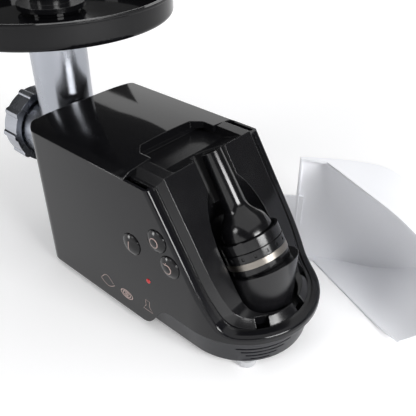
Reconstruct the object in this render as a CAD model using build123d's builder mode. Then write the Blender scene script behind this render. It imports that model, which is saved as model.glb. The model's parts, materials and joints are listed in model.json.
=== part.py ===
"""Electric meat grinder with a rear storage bay, as separate pieces in one frame.

Millimetres, +Z up. The origin is on the table under the middle of the body, -X is the grinding head,
+X the storage bay and -Y the side with the push buttons.
"""

import os
from math import atan, cos, degrees, radians, sin, sqrt, tan

from build123d import *

os.makedirs("parts", exist_ok=True)

# Shared fits
overrun = 20.0
seat_gap = 0.3
run_gap = 0.05
slide_gap = 0.4

# Body shell
body_length = 299.0
body_width = 152.0
crown_top = 179.0
panel_top = 170.0
panel_bottom = 10.0
shell_wall = 3.0
front_corner = 18.0
opening_wall = 8.0
opening_flange = 3.0
opening_round = 4.0

# Storage bay slope, measured on the body's mid plane
crease_x = 27.5
slope_angle = 57.3
rim_z = 50.0
valley_round = 22.0

# Base pan and its seam under the side panels
foot_height = 9.0
base_inset = 5.0
base_foot_inset = 10.0
seam_z = 42.0
seam_rise_start = 8.5
seam_rise_end = 48.5
vent_height = 1.8
vent_pitch = 5.2
vent_top_z = 28.0
vent_count = 4
vent_first_start = -56.0
vent_first_end = -10.0
vent_start_step = 4.0
vent_end_step = 6.0

# Feet and base screws
foot_r = 10.0
foot_inset_x = 36.0
foot_inset_y = 34.0
base_screw_r = 3.0
base_screw_length = 14.0
base_screw_head_r = 4.5
base_screw_head = 2.5
base_screw_front_x = -83.5
base_screw_rear_x = 30.0
base_screw_y = 55.0
screw_post_r = 6.0
screw_post_top = 52.0
screw_rib = 6.0
foot_round = 2.2

# Top cover
crown_edge_half = 68.0
crown_edge_z = 174.5
cover_plate = 3.0
cover_roll = 7.5
cover_rear_x = -1.5
notch_front_x = -24.5
notch_half = 42.0
notch_corner = 9.0

# Storage liner
liner_wall = 2.0
liner_flange = 3.0
liner_gap = 0.3
rim_drop = 1.2
shelf_z = 166.0
shelf_rear_x = 8.0
ridge_z = 176.0
plateau_rise = 5.8
plateau_half = 64.0
plateau_chamfer = 6.0
well_z = 39.0
saddle_plate = 3.0
passage_half = 46.0
recess_head = 6.0
nest_head_x = 76.9
channel_r = 20.5
channel_lead = 30.0
channel_run = 45.0
pedestal_r = 33.4
pedestal_moat = 3.6
rim_notch_r = 56.0
rim_notch_depth = 8.0
rim_notch_width = 13.0
rim_notch_turn = 7.0
rim_notch_step = 41.5

# Grinding head
axis_z = 118.0
tube_gap = 3.5
tube_r = 30.0
tube_bore_r = 26.0
tube_top = 259.5
barrel_r = 35.0
barrel_bore_r = 28.5
barrel_reach = 66.0
neck_r = 30.0
neck_depth = 12.0
head_floor = 5.0
thread_r = 37.0
thread_length = 14.0
plate_r = 30.0
plate_seat_depth = 4.6
plate_thickness = 5.0
knife_thickness = 6.0
nut_r = 44.0
nut_length = 24.0
nut_lip = 4.0
nut_open_r = 26.0
nut_rib_count = 10
nut_rib_r = 5.0

# Auger
auger_core_r = 9.0
auger_flight_r = 27.5
auger_pitch = 26.0
auger_flight = 5.0
auger_overlap = 1.5
bush_r = 13.0
auger_shaft_r = 8.0
drive_across = 11.0
knife_square = 9.0
knife_hub_r = 11.0
knife_blade_width = 9.0
knife_blade_r = 26.5
mince_hole_r = 2.2
plate_row_r = 13.0
plate_row_count = 12
plate_outer_row_r = 22.0
plate_outer_row_count = 20

# Hopper tray and pusher
tray_r = 126.0
tray_z = 260.0
tray_height = 24.0
tray_wall = 2.6
tray_floor = 3.0
tray_lip = 2.4
tray_edge_round = 5.0
tray_spigot = 24.0
tray_spigot_wall = 2.2
tray_collar_height = 4.0
tray_collar_width = 3.0
pusher_length = 92.0
pusher_flange_r = 34.0
pusher_flange = 5.0
pusher_grip_r = 20.0
pusher_grip_height = 46.0
pusher_wall = 2.5

# Front collar and lock button
collar_r = 40.0
collar_lip = 2.0
collar_flange_r = 46.0
collar_flange = 3.0
lock_r = 8.0
lock_z = 58.0
lock_proud = 6.0
lock_flange_r = 10.0
lock_flange = 1.6
lock_bar_half = 5.0
lock_bar = 3.0
lock_bite = 2.5
lock_spring_r = 4.0

# Push buttons, lamp and control board
button_r = 11.2
button_gap = 0.4
button_dome = 4.2
button_flange = 1.6
button_flange_width = 1.1
button_edge = 0.9
button_travel = 2.5
stem_r = 2.6
start_x = 2.5
start_z = 103.0
stop_x = 36.5
stop_z = 124.0
reverse_x = 51.3
reverse_z = 103.0
lamp_r = 2.6
lamp_x = 21.5
lamp_z = 69.0
lamp_proud = 0.8
board_thickness = 1.6
board_inset = 16.0
board_low_z = 60.0
board_high_z = 134.0
board_low_x = -12.5
board_high_x = 58.0
board_slope_gap = 9.0
board_post_mid_x = 18.0
board_post_r = 3.0
board_post_inset = 4.5
switch_side = 6.0
switch_height = 3.5
switch_plunger_r = 1.75
switch_plunger = 1.5
switch_play = 0.2
spring_r = 4.8
spring_wall = 0.8

# Gear train
pinion_teeth = 9
idler_teeth = 63
idler_pinion_teeth = 10
output_teeth = 50
first_module = 1.0
second_module = 1.5
motor_z = 72.0
gear_one_width = 9.0
gear_two_width = 15.0
gear_side_gap = 3.0
tooth_pitch_share = 0.36
tooth_tip_share = 0.2
tooth_root_share = 0.5
addendum_share = 0.85
dedendum_share = 1.2

# Gearbox
box_wall = 3.5
box_gap = 4.0
box_corner = 16.0
box_front_gap = 12.0
journal_r = 11.0
boss_wall = 4.0
idler_shaft_r = 4.0
box_screw_r = 2.5
box_screw_head_r = 4.2
box_screw_head = 2.6
box_screw_length = 12.0
box_ear_r = 5.0
box_ear_inset = 6.0
box_post_y = 50.0
stub_r = 7.0
socket_depth = 10.0
socket_gap = 1.0

# Motor
motor_shaft_r = 4.0
bearing_r = 11.0
bearing_width = 7.0
fan_r = 34.0
fan_width = 9.0
fan_hub_r = 8.0
fan_blades = 12
fan_blade = 2.0
stator_side = 78.0
stator_length = 42.0
stator_corner = 14.0
armature_r = 21.5
air_gap = 0.6
armature_slots = 12
slot_width = 3.0
slot_depth = 8.0
coil_overhang = 9.0
coil_depth = 7.0
commutator_r = 11.0
commutator_length = 15.0
brush_width = 6.0
brush_height = 9.0
brush_length = 14.0
bracket_thickness = 5.0
bracket_half = 36.0
bracket_leg_r = 4.0
pinion_shaft_r = 2.5
standoff_r = 4.0
standoff_inset = 8.0
coil_half = 26.0
coil_rise = 20.0
holder_wall = 2.0
motor_step = 4.0

# Cord inlet
inlet_r = 7.0
inlet_flange_r = 10.0
inlet_flange = 2.0
inlet_bore_r = 4.0
inlet_z = 24.0
inlet_turn = 60.0
inlet_length = 12.0

# Stored nozzle, rings and plates, as lengths along the nozzle's axis
nozzle_lift = 8.6
nozzle_start = -4.7
nozzle_tube_r = 9.6
nozzle_tube_end_r = 11.2
nozzle_bore_r = 8.0
nozzle_tube_length = 51.0
bulb_length = 37.5
bulb_r = 25.0
bulb_waist_share = 0.8
bulb_rise_share = 0.42
nozzle_wall = 2.2
flange_r = 26.4
flange_thickness = 3.0
ring_r = 30.0
ring_length = 9.5
ring_groove = 1.0
spacer_length = 8.2
spacer_bore_r = 18.0
spacer_notch = 2.4
spacer_notch_count = 16
stored_plate = 3.0
plate_hole_r = 2.4
coarse_hole_r = 6.0
coarse_hole_count = 6
plate_hub_r = 5.0
kebbe_length = 7.0
kebbe_r = 29.3
kebbe_bore_r = 12.0
ring_start = 76.6
ring_bore_r = 27.2
ring_groove_r = 28.5

# Storage cover, standing on its side beside the body
hood_wall = 2.4
hood_half = 67.0
hood_flat = 24.0
hood_rear_gap = 7.0
hood_shoulder_z = 96.0
hood_bow_share = 0.6
hood_front_x = 0.5
hood_rim_z = 50.5
hood_front_drop = 4.5
tongue_half = 20.0
tongue_length = 13.0
tongue_root = 8.0
hood_turn = 34.3
hood_tongue_x = 48.0
hood_tongue_y = 103.5

# Values that follow from the sizes above
front_x = -body_length / 2
rear_x = body_length / 2
half_width = body_width / 2
rear_cx = rear_x - half_width
slope = radians(slope_angle)
down = Vector(cos(slope), 0, -sin(slope))
out = Vector(sin(slope), 0, cos(slope))
tube_x = front_x - tube_gap - tube_r
barrel_front_x = tube_x - barrel_reach
collar_front_x = front_x - collar_lip
nozzle_root = Vector(crease_x, 0, panel_top) + out * nozzle_lift
recess_depth = ring_r - nozzle_lift + seat_gap
spacer_start = ring_start + ring_length + ring_groove
plates_start = spacer_start + spacer_length + seat_gap
kebbe_start = plates_start + 2 * stored_plate
seat_along = kebbe_start + kebbe_length + seat_gap
seat_place = nozzle_root + down * seat_along
nest_r = pedestal_r + pedestal_moat
ridge_start = Vector(crease_x, 0, panel_top) + out * plateau_rise
ridge_x = ridge_start.X - (ridge_z - ridge_start.Z) / tan(slope)
neck_end_x = collar_front_x + neck_depth
head_floor_x = collar_front_x - head_floor


def write(piece, name):
    """Label a finished piece and write it under its name."""
    piece.part.label = name
    export_step(piece.part, f"parts/{name}.step")


def x_plane(x, y=0, z=axis_z):
    """A plane across the X axis, with +Y to its right and +X out of it."""
    return Plane(origin=(x, y, z), x_dir=(0, 1, 0), z_dir=(1, 0, 0))


def nozzle_plane(along):
    """A plane across the stored nozzle's axis, that far down it from its root."""
    return Plane(origin=nozzle_root + down * along, x_dir=(0, 1, 0), z_dir=down)


def rod(plane, radius, length, mode=Mode.ADD):
    """A round rod from a plane along its normal, in the part that is open."""
    with BuildSketch(plane) as end:
        Circle(radius)
    extrude(end.sketch, amount=length, mode=mode)


def block(plane, width, height, length, mode=Mode.ADD):
    """A bar of rectangular section from a plane along its normal, in the part that is open."""
    with BuildSketch(plane) as end:
        Rectangle(width, height)
    extrude(end.sketch, amount=length, mode=mode)


def turned(origin, axis, side, points, mode=Mode.ADD):
    """A turned solid from points of radius and place along its axis, in the part that is open."""
    normal = Vector(side).cross(Vector(axis))
    with BuildSketch(Plane(origin=origin, x_dir=side, z_dir=normal)) as half:
        Polygon(*points, align=None)
    revolve(half.sketch, axis=Axis(origin, axis), mode=mode)


def body_plan(sketch, inset):
    """The body's outline from above, moved inwards by an inset, in the sketch that is open."""
    half = half_width - inset
    front = front_x + inset
    with Locations(((front + rear_cx) / 2, 0)):
        Rectangle(rear_cx - front, 2 * half)
    with Locations((rear_cx, 0)):
        Circle(half)
    fillet(sketch.vertices().group_by(Axis.X)[0], max(front_corner - inset, shell_wall))


def profile_above(shift):
    """The side outline of everything over the slope and rim, moved out from the body by a shift."""
    low_z = rim_z + shift
    start = Vector(crease_x, 0, panel_top) + out * shift
    turn_x = start.X + (start.Z - low_z) / tan(slope)
    high_x = start.X - overrun / tan(slope)
    high_z = start.Z + overrun
    with BuildLine() as outline:
        FilletPolyline((high_x, high_z), (turn_x, low_z), (rear_x + overrun, low_z), radius=valley_round)
        Polyline((rear_x + overrun, low_z), (rear_x + overrun, high_z), (high_x, high_z))
    make_face(outline.edges())


def nest_solid(margin):
    """The nest for the stored pieces as a solid, grown by a margin."""
    top_z = crown_top
    bottom_z = well_z - margin
    end = Vector(crease_x, 0, panel_top) + down * (recess_head - margin)
    floor_start = end - out * (recess_depth + margin)
    floor_x = floor_start.X + (floor_start.Z - bottom_z) / tan(slope)
    above = end + out * recess_depth
    with BuildPart() as nest:
        with BuildSketch(Plane.XZ):
            Polygon(
                (above.X, above.Z),
                (floor_start.X, floor_start.Z),
                (floor_x, bottom_z),
                (rear_x, bottom_z),
                (rear_x, top_z),
                (above.X, top_z),
                align=None,
            )
        extrude(amount=nest_r + margin, both=True)
        with BuildSketch(Plane.XY):
            with Locations(((nest_head_x + seat_place.X) / 2, 0)):
                SlotCenterToCenter(seat_place.X - nest_head_x, 2 * (nest_r + margin))
        extrude(amount=top_z, mode=Mode.INTERSECT)
    return nest.part


def channel_solid(margin):
    """The round channel for the stored nozzle's tube as a solid, grown by a margin."""
    with BuildPart() as channel:
        rod(nozzle_plane(-channel_lead), channel_r + margin, channel_lead + channel_run)
    return channel.part


def passage_solid(margin):
    """The way over the shelf and up to the ridge as a solid, grown by a margin."""
    top_z = crown_top + overrun
    low_z = shelf_z - margin
    front = notch_front_x - margin
    with BuildPart() as passage:
        with BuildSketch(Plane.XZ):
            Polygon(
                (front, low_z),
                (shelf_rear_x, low_z),
                (ridge_x, ridge_z - margin),
                (ridge_x, top_z),
                (front, top_z),
                align=None,
            )
        extrude(amount=passage_half + margin, both=True)
    return passage.part


def crown_solid(inset, rear):
    """The top cover's crowned block, moved inwards by an inset, up to its rear."""
    top_z = crown_top - inset
    with BuildPart() as crown:
        with BuildSketch(x_plane(front_x, z=0)):
            with BuildLine():
                Polyline(
                    (-crown_edge_half, crown_edge_z - inset),
                    (inset - half_width, panel_top),
                    (half_width - inset, panel_top),
                    (crown_edge_half, crown_edge_z - inset),
                )
                ThreePointArc(
                    (crown_edge_half, crown_edge_z - inset),
                    (0, top_z),
                    (-crown_edge_half, crown_edge_z - inset),
                )
            make_face()
        extrude(amount=rear - front_x)
        with BuildSketch(Plane.XZ):
            with BuildLine():
                Line((front_x + inset, panel_top), (front_x + inset, crown_top - cover_roll))
                RadiusArc(
                    (front_x + inset, crown_top - cover_roll),
                    (front_x + cover_roll, top_z),
                    cover_roll - inset,
                )
                Polyline(
                    (front_x + cover_roll, top_z),
                    (rear, top_z),
                    (rear, panel_top),
                    (front_x + inset, panel_top),
                )
            make_face()
        extrude(amount=body_width, both=True, mode=Mode.INTERSECT)
        with BuildSketch(Plane.XY) as crown_plan:
            body_plan(crown_plan, inset)
        extrude(amount=crown_top, mode=Mode.INTERSECT)
    return crown.part


def notch_solid(grow):
    """The notch in the top cover as a solid with cut front corners, grown by a wall."""
    half = notch_half + grow
    front = notch_front_x - grow
    with BuildPart() as notch:
        with BuildSketch(Plane.XY.offset(panel_top)):
            Polygon(
                (front, notch_corner - half),
                (front + notch_corner, -half),
                (cover_rear_x + overrun, -half),
                (cover_rear_x + overrun, half),
                (front + notch_corner, half),
                (front, half - notch_corner),
                align=None,
            )
        extrude(amount=overrun)
    return notch.part


def gear_outline(teeth, module, turn):
    """A spur gear's outline with one tooth at the given turn, in the sketch that is open."""
    pitch_r = teeth * module / 2
    tip_r = pitch_r + addendum_share * module
    root_r = pitch_r - dedendum_share * module
    step = 360 / teeth
    sides = (
        (root_r, -tooth_root_share),
        (pitch_r, -tooth_pitch_share),
        (tip_r, -tooth_tip_share),
        (tip_r, tooth_tip_share),
        (pitch_r, tooth_pitch_share),
        (root_r, tooth_root_share),
    )
    points = []
    for tooth in range(teeth):
        for radius, share in sides:
            angle = radians(turn + (tooth + share / 2) * step)
            points.append((radius * cos(angle), radius * sin(angle)))
    Polygon(*points, align=None)


# Base pan, drafted, with vent slots round its rear corner
base_height = seam_z - foot_height
base_draft = degrees(atan((base_foot_inset - base_inset) / base_height))
screw_columns = (base_screw_front_x, base_screw_rear_x)
screw_places = [(x, y) for x in screw_columns for y in (-base_screw_y, base_screw_y)]
inlet_out = Vector(cos(radians(inlet_turn)), sin(radians(inlet_turn)), 0)
inlet_face = half_width - base_foot_inset
inlet_origin = Vector(rear_cx, 0, inlet_z) + inlet_out * inlet_face
with BuildPart() as base_pan:
    with BuildSketch(Plane.XY.offset(foot_height)) as base_floor:
        body_plan(base_floor, base_foot_inset)
    extrude(amount=base_height, taper=-base_draft)
    with BuildSketch(Plane.XY.offset(foot_height + shell_wall)) as base_inside:
        body_plan(base_inside, base_foot_inset + shell_wall)
    extrude(amount=base_height, taper=-base_draft, mode=Mode.SUBTRACT)
    for vent in range(vent_count):
        vent_z = vent_top_z - vent * vent_pitch
        vent_start = vent_first_start + vent * vent_start_step
        vent_end = vent_first_end - vent * vent_end_step
        vent_plane = Plane(
            origin=(rear_cx, 0, vent_z),
            x_dir=(cos(radians(vent_start)), sin(radians(vent_start)), 0),
            z_dir=(sin(radians(vent_start)), -cos(radians(vent_start)), 0),
        )
        with BuildSketch(vent_plane):
            with Locations((half_width, 0)):
                Rectangle(2 * (base_foot_inset + 2 * shell_wall), vent_height)
        revolve(
            axis=Axis((rear_cx, 0, 0), (0, 0, 1)),
            revolution_arc=vent_end - vent_start,
            mode=Mode.SUBTRACT,
        )
    rod(Plane(origin=inlet_origin - inlet_out * overrun, z_dir=inlet_out), inlet_r, 2 * overrun, Mode.SUBTRACT)
    with BuildSketch(Plane.XY):
        with Locations(*screw_places):
            Circle(base_screw_r)
    extrude(amount=overrun, mode=Mode.SUBTRACT)
write(base_pan, "base_pan")

# Cord inlet bush in the base pan's rear, on the far side
with BuildPart() as cord_inlet:
    inlet_flange_start = base_foot_inset - base_inset
    turned(
        inlet_origin,
        inlet_out,
        (0, 0, 1),
        (
            (inlet_bore_r, inlet_flange_start + inlet_flange - inlet_length),
            (inlet_bore_r, inlet_flange_start + inlet_flange),
            (inlet_flange_r, inlet_flange_start + inlet_flange),
            (inlet_flange_r, inlet_flange_start),
            (inlet_r, inlet_flange_start),
            (inlet_r, inlet_flange_start + inlet_flange - inlet_length),
        ),
    )
write(cord_inlet, "cord_inlet")

# Four round feet under the base
foot_places = [
    (x, y)
    for x in (front_x + foot_inset_x, rear_x - foot_inset_x)
    for y in (-half_width + foot_inset_y, half_width - foot_inset_y)
]
with BuildPart() as rubber_feet:
    with BuildSketch():
        with Locations(*foot_places):
            Circle(foot_r)
    extrude(amount=foot_height)
    fillet(rubber_feet.edges().group_by(Axis.Z)[0], foot_round)
write(rubber_feet, "rubber_feet")

# Base screws, from under the pan into the housing's posts
with BuildPart() as base_screws:
    with BuildSketch(Plane.XY.offset(foot_height - base_screw_head)):
        with Locations(*screw_places):
            Circle(base_screw_head_r)
    extrude(amount=base_screw_head)
    with BuildSketch(Plane.XY.offset(foot_height)):
        with Locations(*screw_places):
            Circle(base_screw_r)
    extrude(amount=base_screw_length)
write(base_screws, "base_screws")

# Main housing: both side panels, the front wall and the rear band in one shell
buttons = (
    ("start", start_x, start_z),
    ("stop", stop_x, stop_z),
    ("reverse", reverse_x, reverse_z),
)
board_y = board_inset - half_width
board_face_y = board_y - board_thickness
board_posts = (
    (board_low_x + board_post_inset, board_low_z + board_post_inset),
    (board_high_x - board_post_inset, board_low_z + board_post_inset),
    (board_low_x + board_post_inset, board_high_z - board_post_inset),
    (board_post_mid_x, board_high_z - board_post_inset),
)
with BuildPart() as housing_core:
    with BuildSketch(Plane.XY) as core_plan:
        body_plan(core_plan, shell_wall)
    extrude(amount=panel_top + overrun)
    with BuildSketch(Plane.XZ):
        profile_above(-opening_flange)
    extrude(amount=body_width, both=True, mode=Mode.SUBTRACT)

with BuildPart() as main_housing:
    with BuildSketch(Plane.XY.offset(panel_bottom)) as housing_plan:
        body_plan(housing_plan, 0)
    extrude(amount=panel_top - panel_bottom)
    with BuildSketch(Plane.XZ):
        with BuildLine():
            seam_mid_x = (seam_rise_start + seam_rise_end) / 2
            Bezier(
                (seam_rise_start, panel_bottom),
                (seam_mid_x, panel_bottom),
                (seam_mid_x, seam_z),
                (seam_rise_end, seam_z),
            )
            Polyline(
                (seam_rise_end, seam_z),
                (rear_x + overrun, seam_z),
                (rear_x + overrun, panel_bottom - overrun),
                (seam_rise_start, panel_bottom - overrun),
                (seam_rise_start, panel_bottom),
            )
        make_face()
    extrude(amount=body_width, both=True, mode=Mode.SUBTRACT)
    with BuildSketch(Plane.XZ):
        profile_above(0)
    extrude(amount=body_width, both=True, mode=Mode.SUBTRACT)
    opening_edges = main_housing.edges().filter_by(Axis.Y, reverse=True).filter_by(Axis.Z, reverse=True)
    opening_edges = opening_edges.filter_by_position(Axis.Z, rim_z - run_gap, panel_top - run_gap)
    fillet(opening_edges, opening_round)
    with BuildSketch(Plane.XY) as opening_plan:
        body_plan(opening_plan, opening_wall)
    extrude(amount=panel_top + overrun, mode=Mode.SUBTRACT)
    add(housing_core.part, mode=Mode.SUBTRACT)
    with BuildSketch(Plane.XY.offset(foot_height + shell_wall)):
        with Locations(*screw_places):
            Circle(screw_post_r)
    extrude(amount=screw_post_top - foot_height - shell_wall)
    for x, y in screw_places:
        wall_y = half_width - shell_wall
        rib_y = (wall_y + base_screw_y) / 2 if y > 0 else -(wall_y + base_screw_y) / 2
        rib_plane = Plane(origin=(x, rib_y, screw_post_top - screw_rib))
        block(rib_plane, screw_post_r, wall_y - base_screw_y, screw_rib)
    with BuildSketch(Plane.XY):
        with Locations(*screw_places):
            Circle(base_screw_r)
    extrude(amount=foot_height + base_screw_length, mode=Mode.SUBTRACT)
    for x, z in board_posts:
        post_plane = Plane(origin=(x, board_face_y, z), z_dir=(0, -1, 0))
        rod(post_plane, board_post_r, board_face_y + half_width - shell_wall)
    for name, x, z in buttons:
        hole_plane = Plane(origin=(x, -half_width - overrun, z), z_dir=(0, 1, 0))
        rod(hole_plane, button_r + button_gap, 2 * overrun, Mode.SUBTRACT)
    lamp_plane = Plane(origin=(lamp_x, -half_width - overrun, lamp_z), z_dir=(0, 1, 0))
    rod(lamp_plane, lamp_r + run_gap, 2 * overrun, Mode.SUBTRACT)
    rod(x_plane(front_x - overrun), collar_r + run_gap, 2 * overrun, Mode.SUBTRACT)
    rod(x_plane(front_x - overrun, z=lock_z), lock_r + button_gap, 2 * overrun, Mode.SUBTRACT)
write(main_housing, "main_housing")

# Top cover with its rolled front edge and a notch at the rear
with BuildPart() as cover_inside:
    add(crown_solid(cover_plate, cover_rear_x - cover_plate))
    add(notch_solid(cover_plate), mode=Mode.SUBTRACT)

with BuildPart() as top_cover:
    add(crown_solid(0, cover_rear_x))
    add(cover_inside.part, mode=Mode.SUBTRACT)
    add(notch_solid(0), mode=Mode.SUBTRACT)
write(top_cover, "top_cover")

# Storage liner: its rim, the raised land that the cover fits round, the shelf and the nozzle's channel
with BuildPart() as flange_band:
    with BuildSketch(Plane.XZ):
        profile_above(-rim_drop - liner_flange)
    extrude(amount=half_width, both=True)
    with BuildSketch(Plane.XZ):
        profile_above(-rim_drop)
    extrude(amount=body_width, both=True, mode=Mode.SUBTRACT)
    with BuildSketch(Plane.XY) as flange_plan:
        body_plan(flange_plan, opening_wall + liner_gap)
    extrude(amount=panel_top, mode=Mode.INTERSECT)

with BuildPart() as plateau:
    with BuildSketch(Plane.XY.offset(rim_z - rim_drop)) as plateau_plan:
        body_plan(plateau_plan, half_width - plateau_half)
    extrude(amount=ridge_z - rim_z + rim_drop)
    with BuildSketch(Plane.XZ):
        profile_above(-rim_drop)
    extrude(amount=body_width, both=True, mode=Mode.INTERSECT)
    land_plane = Plane(origin=((ridge_x + cover_rear_x) / 2, 0, panel_top - saddle_plate))
    block(land_plane, ridge_x - cover_rear_x, 2 * plateau_half, ridge_z - panel_top + saddle_plate)
    with BuildSketch(Plane.XZ):
        profile_above(plateau_rise)
    extrude(amount=body_width, both=True, mode=Mode.SUBTRACT)
    side_faces = plateau.faces().filter_by(Axis.Y)
    land_edges = [edge for face in side_faces for edge in face.edges() if edge.center().Z > ridge_z - run_gap]
    slope_edges = [
        edge
        for face in side_faces
        for edge in face.edges()
        if (edge.center() - ridge_start).dot(out) > -run_gap and edge.center().Z < ridge_z - run_gap
    ]
    chamfer(land_edges + slope_edges, plateau_chamfer)

with BuildPart() as bay_cavity:
    add(nest_solid(0))
    add(channel_solid(0))
    add(passage_solid(0))

with BuildPart() as storage_liner:
    add(channel_solid(liner_wall))
    add(passage_solid(liner_wall))
    with BuildSketch(Plane.XZ):
        profile_above(-rim_drop)
    extrude(amount=body_width, both=True, mode=Mode.SUBTRACT)
    with BuildSketch(Plane.XY):
        Rectangle(body_length, body_width)
    extrude(amount=panel_top, mode=Mode.INTERSECT)
    add(flange_band.part)
    saddle_length = crease_x - cover_rear_x
    saddle_plane = Plane(origin=((crease_x + cover_rear_x) / 2, 0, panel_top - saddle_plate))
    block(saddle_plane, saddle_length, body_width - 2 * (opening_wall + liner_gap), saddle_plate)
    add(plateau.part)
    add(bay_cavity.part, mode=Mode.SUBTRACT)
    for place in (-1, 0, 1):
        turn = radians(rim_notch_turn + place * rim_notch_step)
        reach = rim_notch_r + rim_notch_depth / 2
        notch_plane = Plane(
            origin=(rear_cx + reach * cos(turn), reach * sin(turn), rim_z - rim_notch_depth),
            x_dir=(cos(turn), sin(turn), 0),
            z_dir=(0, 0, 1),
        )
        block(notch_plane, rim_notch_depth, rim_notch_width, overrun, Mode.SUBTRACT)
write(storage_liner, "storage_liner")

# Nest under the liner: its walls and floor, and the pedestal for the plates
with BuildPart() as pedestal:
    rod(Plane(origin=(seat_place.X, 0, well_z)), pedestal_r, seat_place.Z)
    with BuildSketch(nozzle_plane(seat_along)):
        Rectangle(body_width, body_width)
    extrude(amount=-body_length, mode=Mode.SUBTRACT)
    add(nest_solid(0), mode=Mode.INTERSECT)

with BuildPart() as storage_nest:
    add(nest_solid(liner_wall))
    with BuildSketch(Plane.XZ):
        profile_above(-rim_drop - liner_flange)
    extrude(amount=body_width, both=True, mode=Mode.SUBTRACT)
    add(bay_cavity.part, mode=Mode.SUBTRACT)
    add(storage_liner.part, mode=Mode.SUBTRACT)
    add(pedestal.part)
write(storage_nest, "storage_nest")

# Front collar that holds the head's neck
collar_inner_x = front_x + shell_wall
collar_end_x = collar_inner_x + collar_flange
with BuildPart() as front_collar:
    rod(x_plane(collar_front_x), collar_r, collar_end_x - collar_front_x)
    rod(x_plane(collar_inner_x), collar_flange_r, collar_flange)
    rod(x_plane(collar_front_x), neck_r + run_gap, overrun, Mode.SUBTRACT)
write(front_collar, "front_collar")

# Lock button beside the collar, with a bar up into the neck's notch
lock_stop_x = front_x + shell_wall + seat_gap
lock_bar_x = collar_end_x + seat_gap
lock_top_z = axis_z - neck_r + lock_bite
with BuildPart() as lock_button:
    rod(x_plane(front_x - lock_proud, z=lock_z), lock_r, lock_proud + shell_wall + seat_gap)
    rod(x_plane(lock_stop_x, z=lock_z), lock_flange_r, lock_flange)
    rod(x_plane(lock_stop_x, z=lock_z), lock_bar_half, lock_bar_x - lock_stop_x)
    bar_plane = x_plane(lock_bar_x, z=(lock_z - lock_bar_half + lock_top_z) / 2)
    block(bar_plane, 2 * lock_bar_half, lock_top_z - lock_z + lock_bar_half, lock_bar)
    fillet(lock_button.faces().sort_by(Axis.X)[0].edges(), lock_flange)
write(lock_button, "lock_button")

# Head casting: barrel, neck and the root of the feed tube
tube_top_plane = Plane(origin=(tube_x, 0, axis_z))
with BuildPart() as head_casting:
    rod(x_plane(barrel_front_x), barrel_r, collar_front_x - barrel_front_x)
    rod(x_plane(barrel_front_x), thread_r, thread_length)
    rod(x_plane(collar_front_x), neck_r, neck_depth)
    rod(tube_top_plane, tube_r, barrel_r)
    rod(x_plane(barrel_front_x), barrel_bore_r, head_floor_x - barrel_front_x, Mode.SUBTRACT)
    rod(x_plane(barrel_front_x), plate_r + seat_gap, plate_seat_depth, Mode.SUBTRACT)
    rod(tube_top_plane, tube_bore_r, tube_top - axis_z, Mode.SUBTRACT)
    rod(x_plane(head_floor_x), bush_r, overrun, Mode.SUBTRACT)
    lock_notch_plane = x_plane(collar_end_x, z=axis_z - neck_r)
    block(lock_notch_plane, 2 * (lock_bar_half + seat_gap), 2 * (lock_bite + seat_gap), overrun, Mode.SUBTRACT)
write(head_casting, "head_casting")

# Feed tube on the barrel
with BuildPart() as feed_tube:
    tube_plane = Plane(origin=(tube_x, 0, axis_z + barrel_r))
    rod(tube_plane, tube_r, tube_top - axis_z - barrel_r)
    rod(tube_plane, tube_bore_r, tube_top - axis_z, Mode.SUBTRACT)
write(feed_tube, "feed_tube")

# Bush for the auger in the head's floor
with BuildPart() as auger_bush:
    rod(x_plane(head_floor_x), bush_r, neck_end_x - head_floor_x)
    rod(x_plane(head_floor_x), auger_shaft_r + run_gap, overrun, Mode.SUBTRACT)
write(auger_bush, "auger_bush")

# Auger with a hexagon tail for the drive and a square nose for the knife
plate_x = barrel_front_x + plate_seat_depth - plate_thickness
knife_x = plate_x + plate_thickness + seat_gap
auger_front_x = knife_x + knife_thickness + seat_gap
auger_rear_x = head_floor_x - seat_gap
with BuildPart() as auger:
    rod(x_plane(auger_front_x), auger_core_r, auger_rear_x - auger_front_x)
    rod(x_plane(auger_rear_x), auger_shaft_r, neck_end_x - auger_rear_x)
    with BuildSketch(x_plane(neck_end_x)):
        RegularPolygon(drive_across / 2, 6, major_radius=False)
    extrude(amount=socket_depth)
    block(x_plane(auger_front_x), knife_square, knife_square, -knife_thickness - seat_gap)
    rod(x_plane(plate_x), plate_hub_r - run_gap, knife_x - plate_x)
    flight_start = auger_front_x + auger_flight
    flight_length = auger_rear_x - auger_flight - flight_start
    with BuildLine() as flight_path:
        Helix(auger_pitch, flight_length, auger_core_r, center=(flight_start, 0, axis_z), direction=(1, 0, 0))
    flight_foot = flight_path.line @ 0
    flight_side = flight_foot - Vector(flight_start, 0, axis_z)
    with BuildSketch(Plane(origin=flight_foot, x_dir=flight_side, z_dir=flight_path.line % 0)):
        with Locations(((auger_flight_r - auger_core_r - auger_overlap) / 2, 0)):
            Rectangle(auger_flight_r - auger_core_r + auger_overlap, auger_flight)
    sweep(path=flight_path.line, is_frenet=True)
write(auger, "auger")

# Knife on the auger's square nose
with BuildPart() as knife:
    rod(x_plane(knife_x), knife_hub_r, knife_thickness)
    block(x_plane(knife_x), 2 * knife_blade_r, knife_blade_width, knife_thickness)
    block(x_plane(knife_x), knife_blade_width, 2 * knife_blade_r, knife_thickness)
    block(x_plane(knife_x), knife_square, knife_square, knife_thickness, Mode.SUBTRACT)
write(knife, "knife")

# Mincing plate in the front of the barrel
with BuildPart() as mincing_plate:
    rod(x_plane(plate_x), plate_r, plate_thickness)
    rod(x_plane(plate_x), plate_hub_r, plate_thickness, Mode.SUBTRACT)
    with BuildSketch(x_plane(plate_x)):
        with PolarLocations(plate_row_r, plate_row_count):
            Circle(mince_hole_r)
        with PolarLocations(plate_outer_row_r, plate_outer_row_count):
            Circle(mince_hole_r)
    extrude(amount=plate_thickness, mode=Mode.SUBTRACT)
write(mincing_plate, "mincing_plate")

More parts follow.
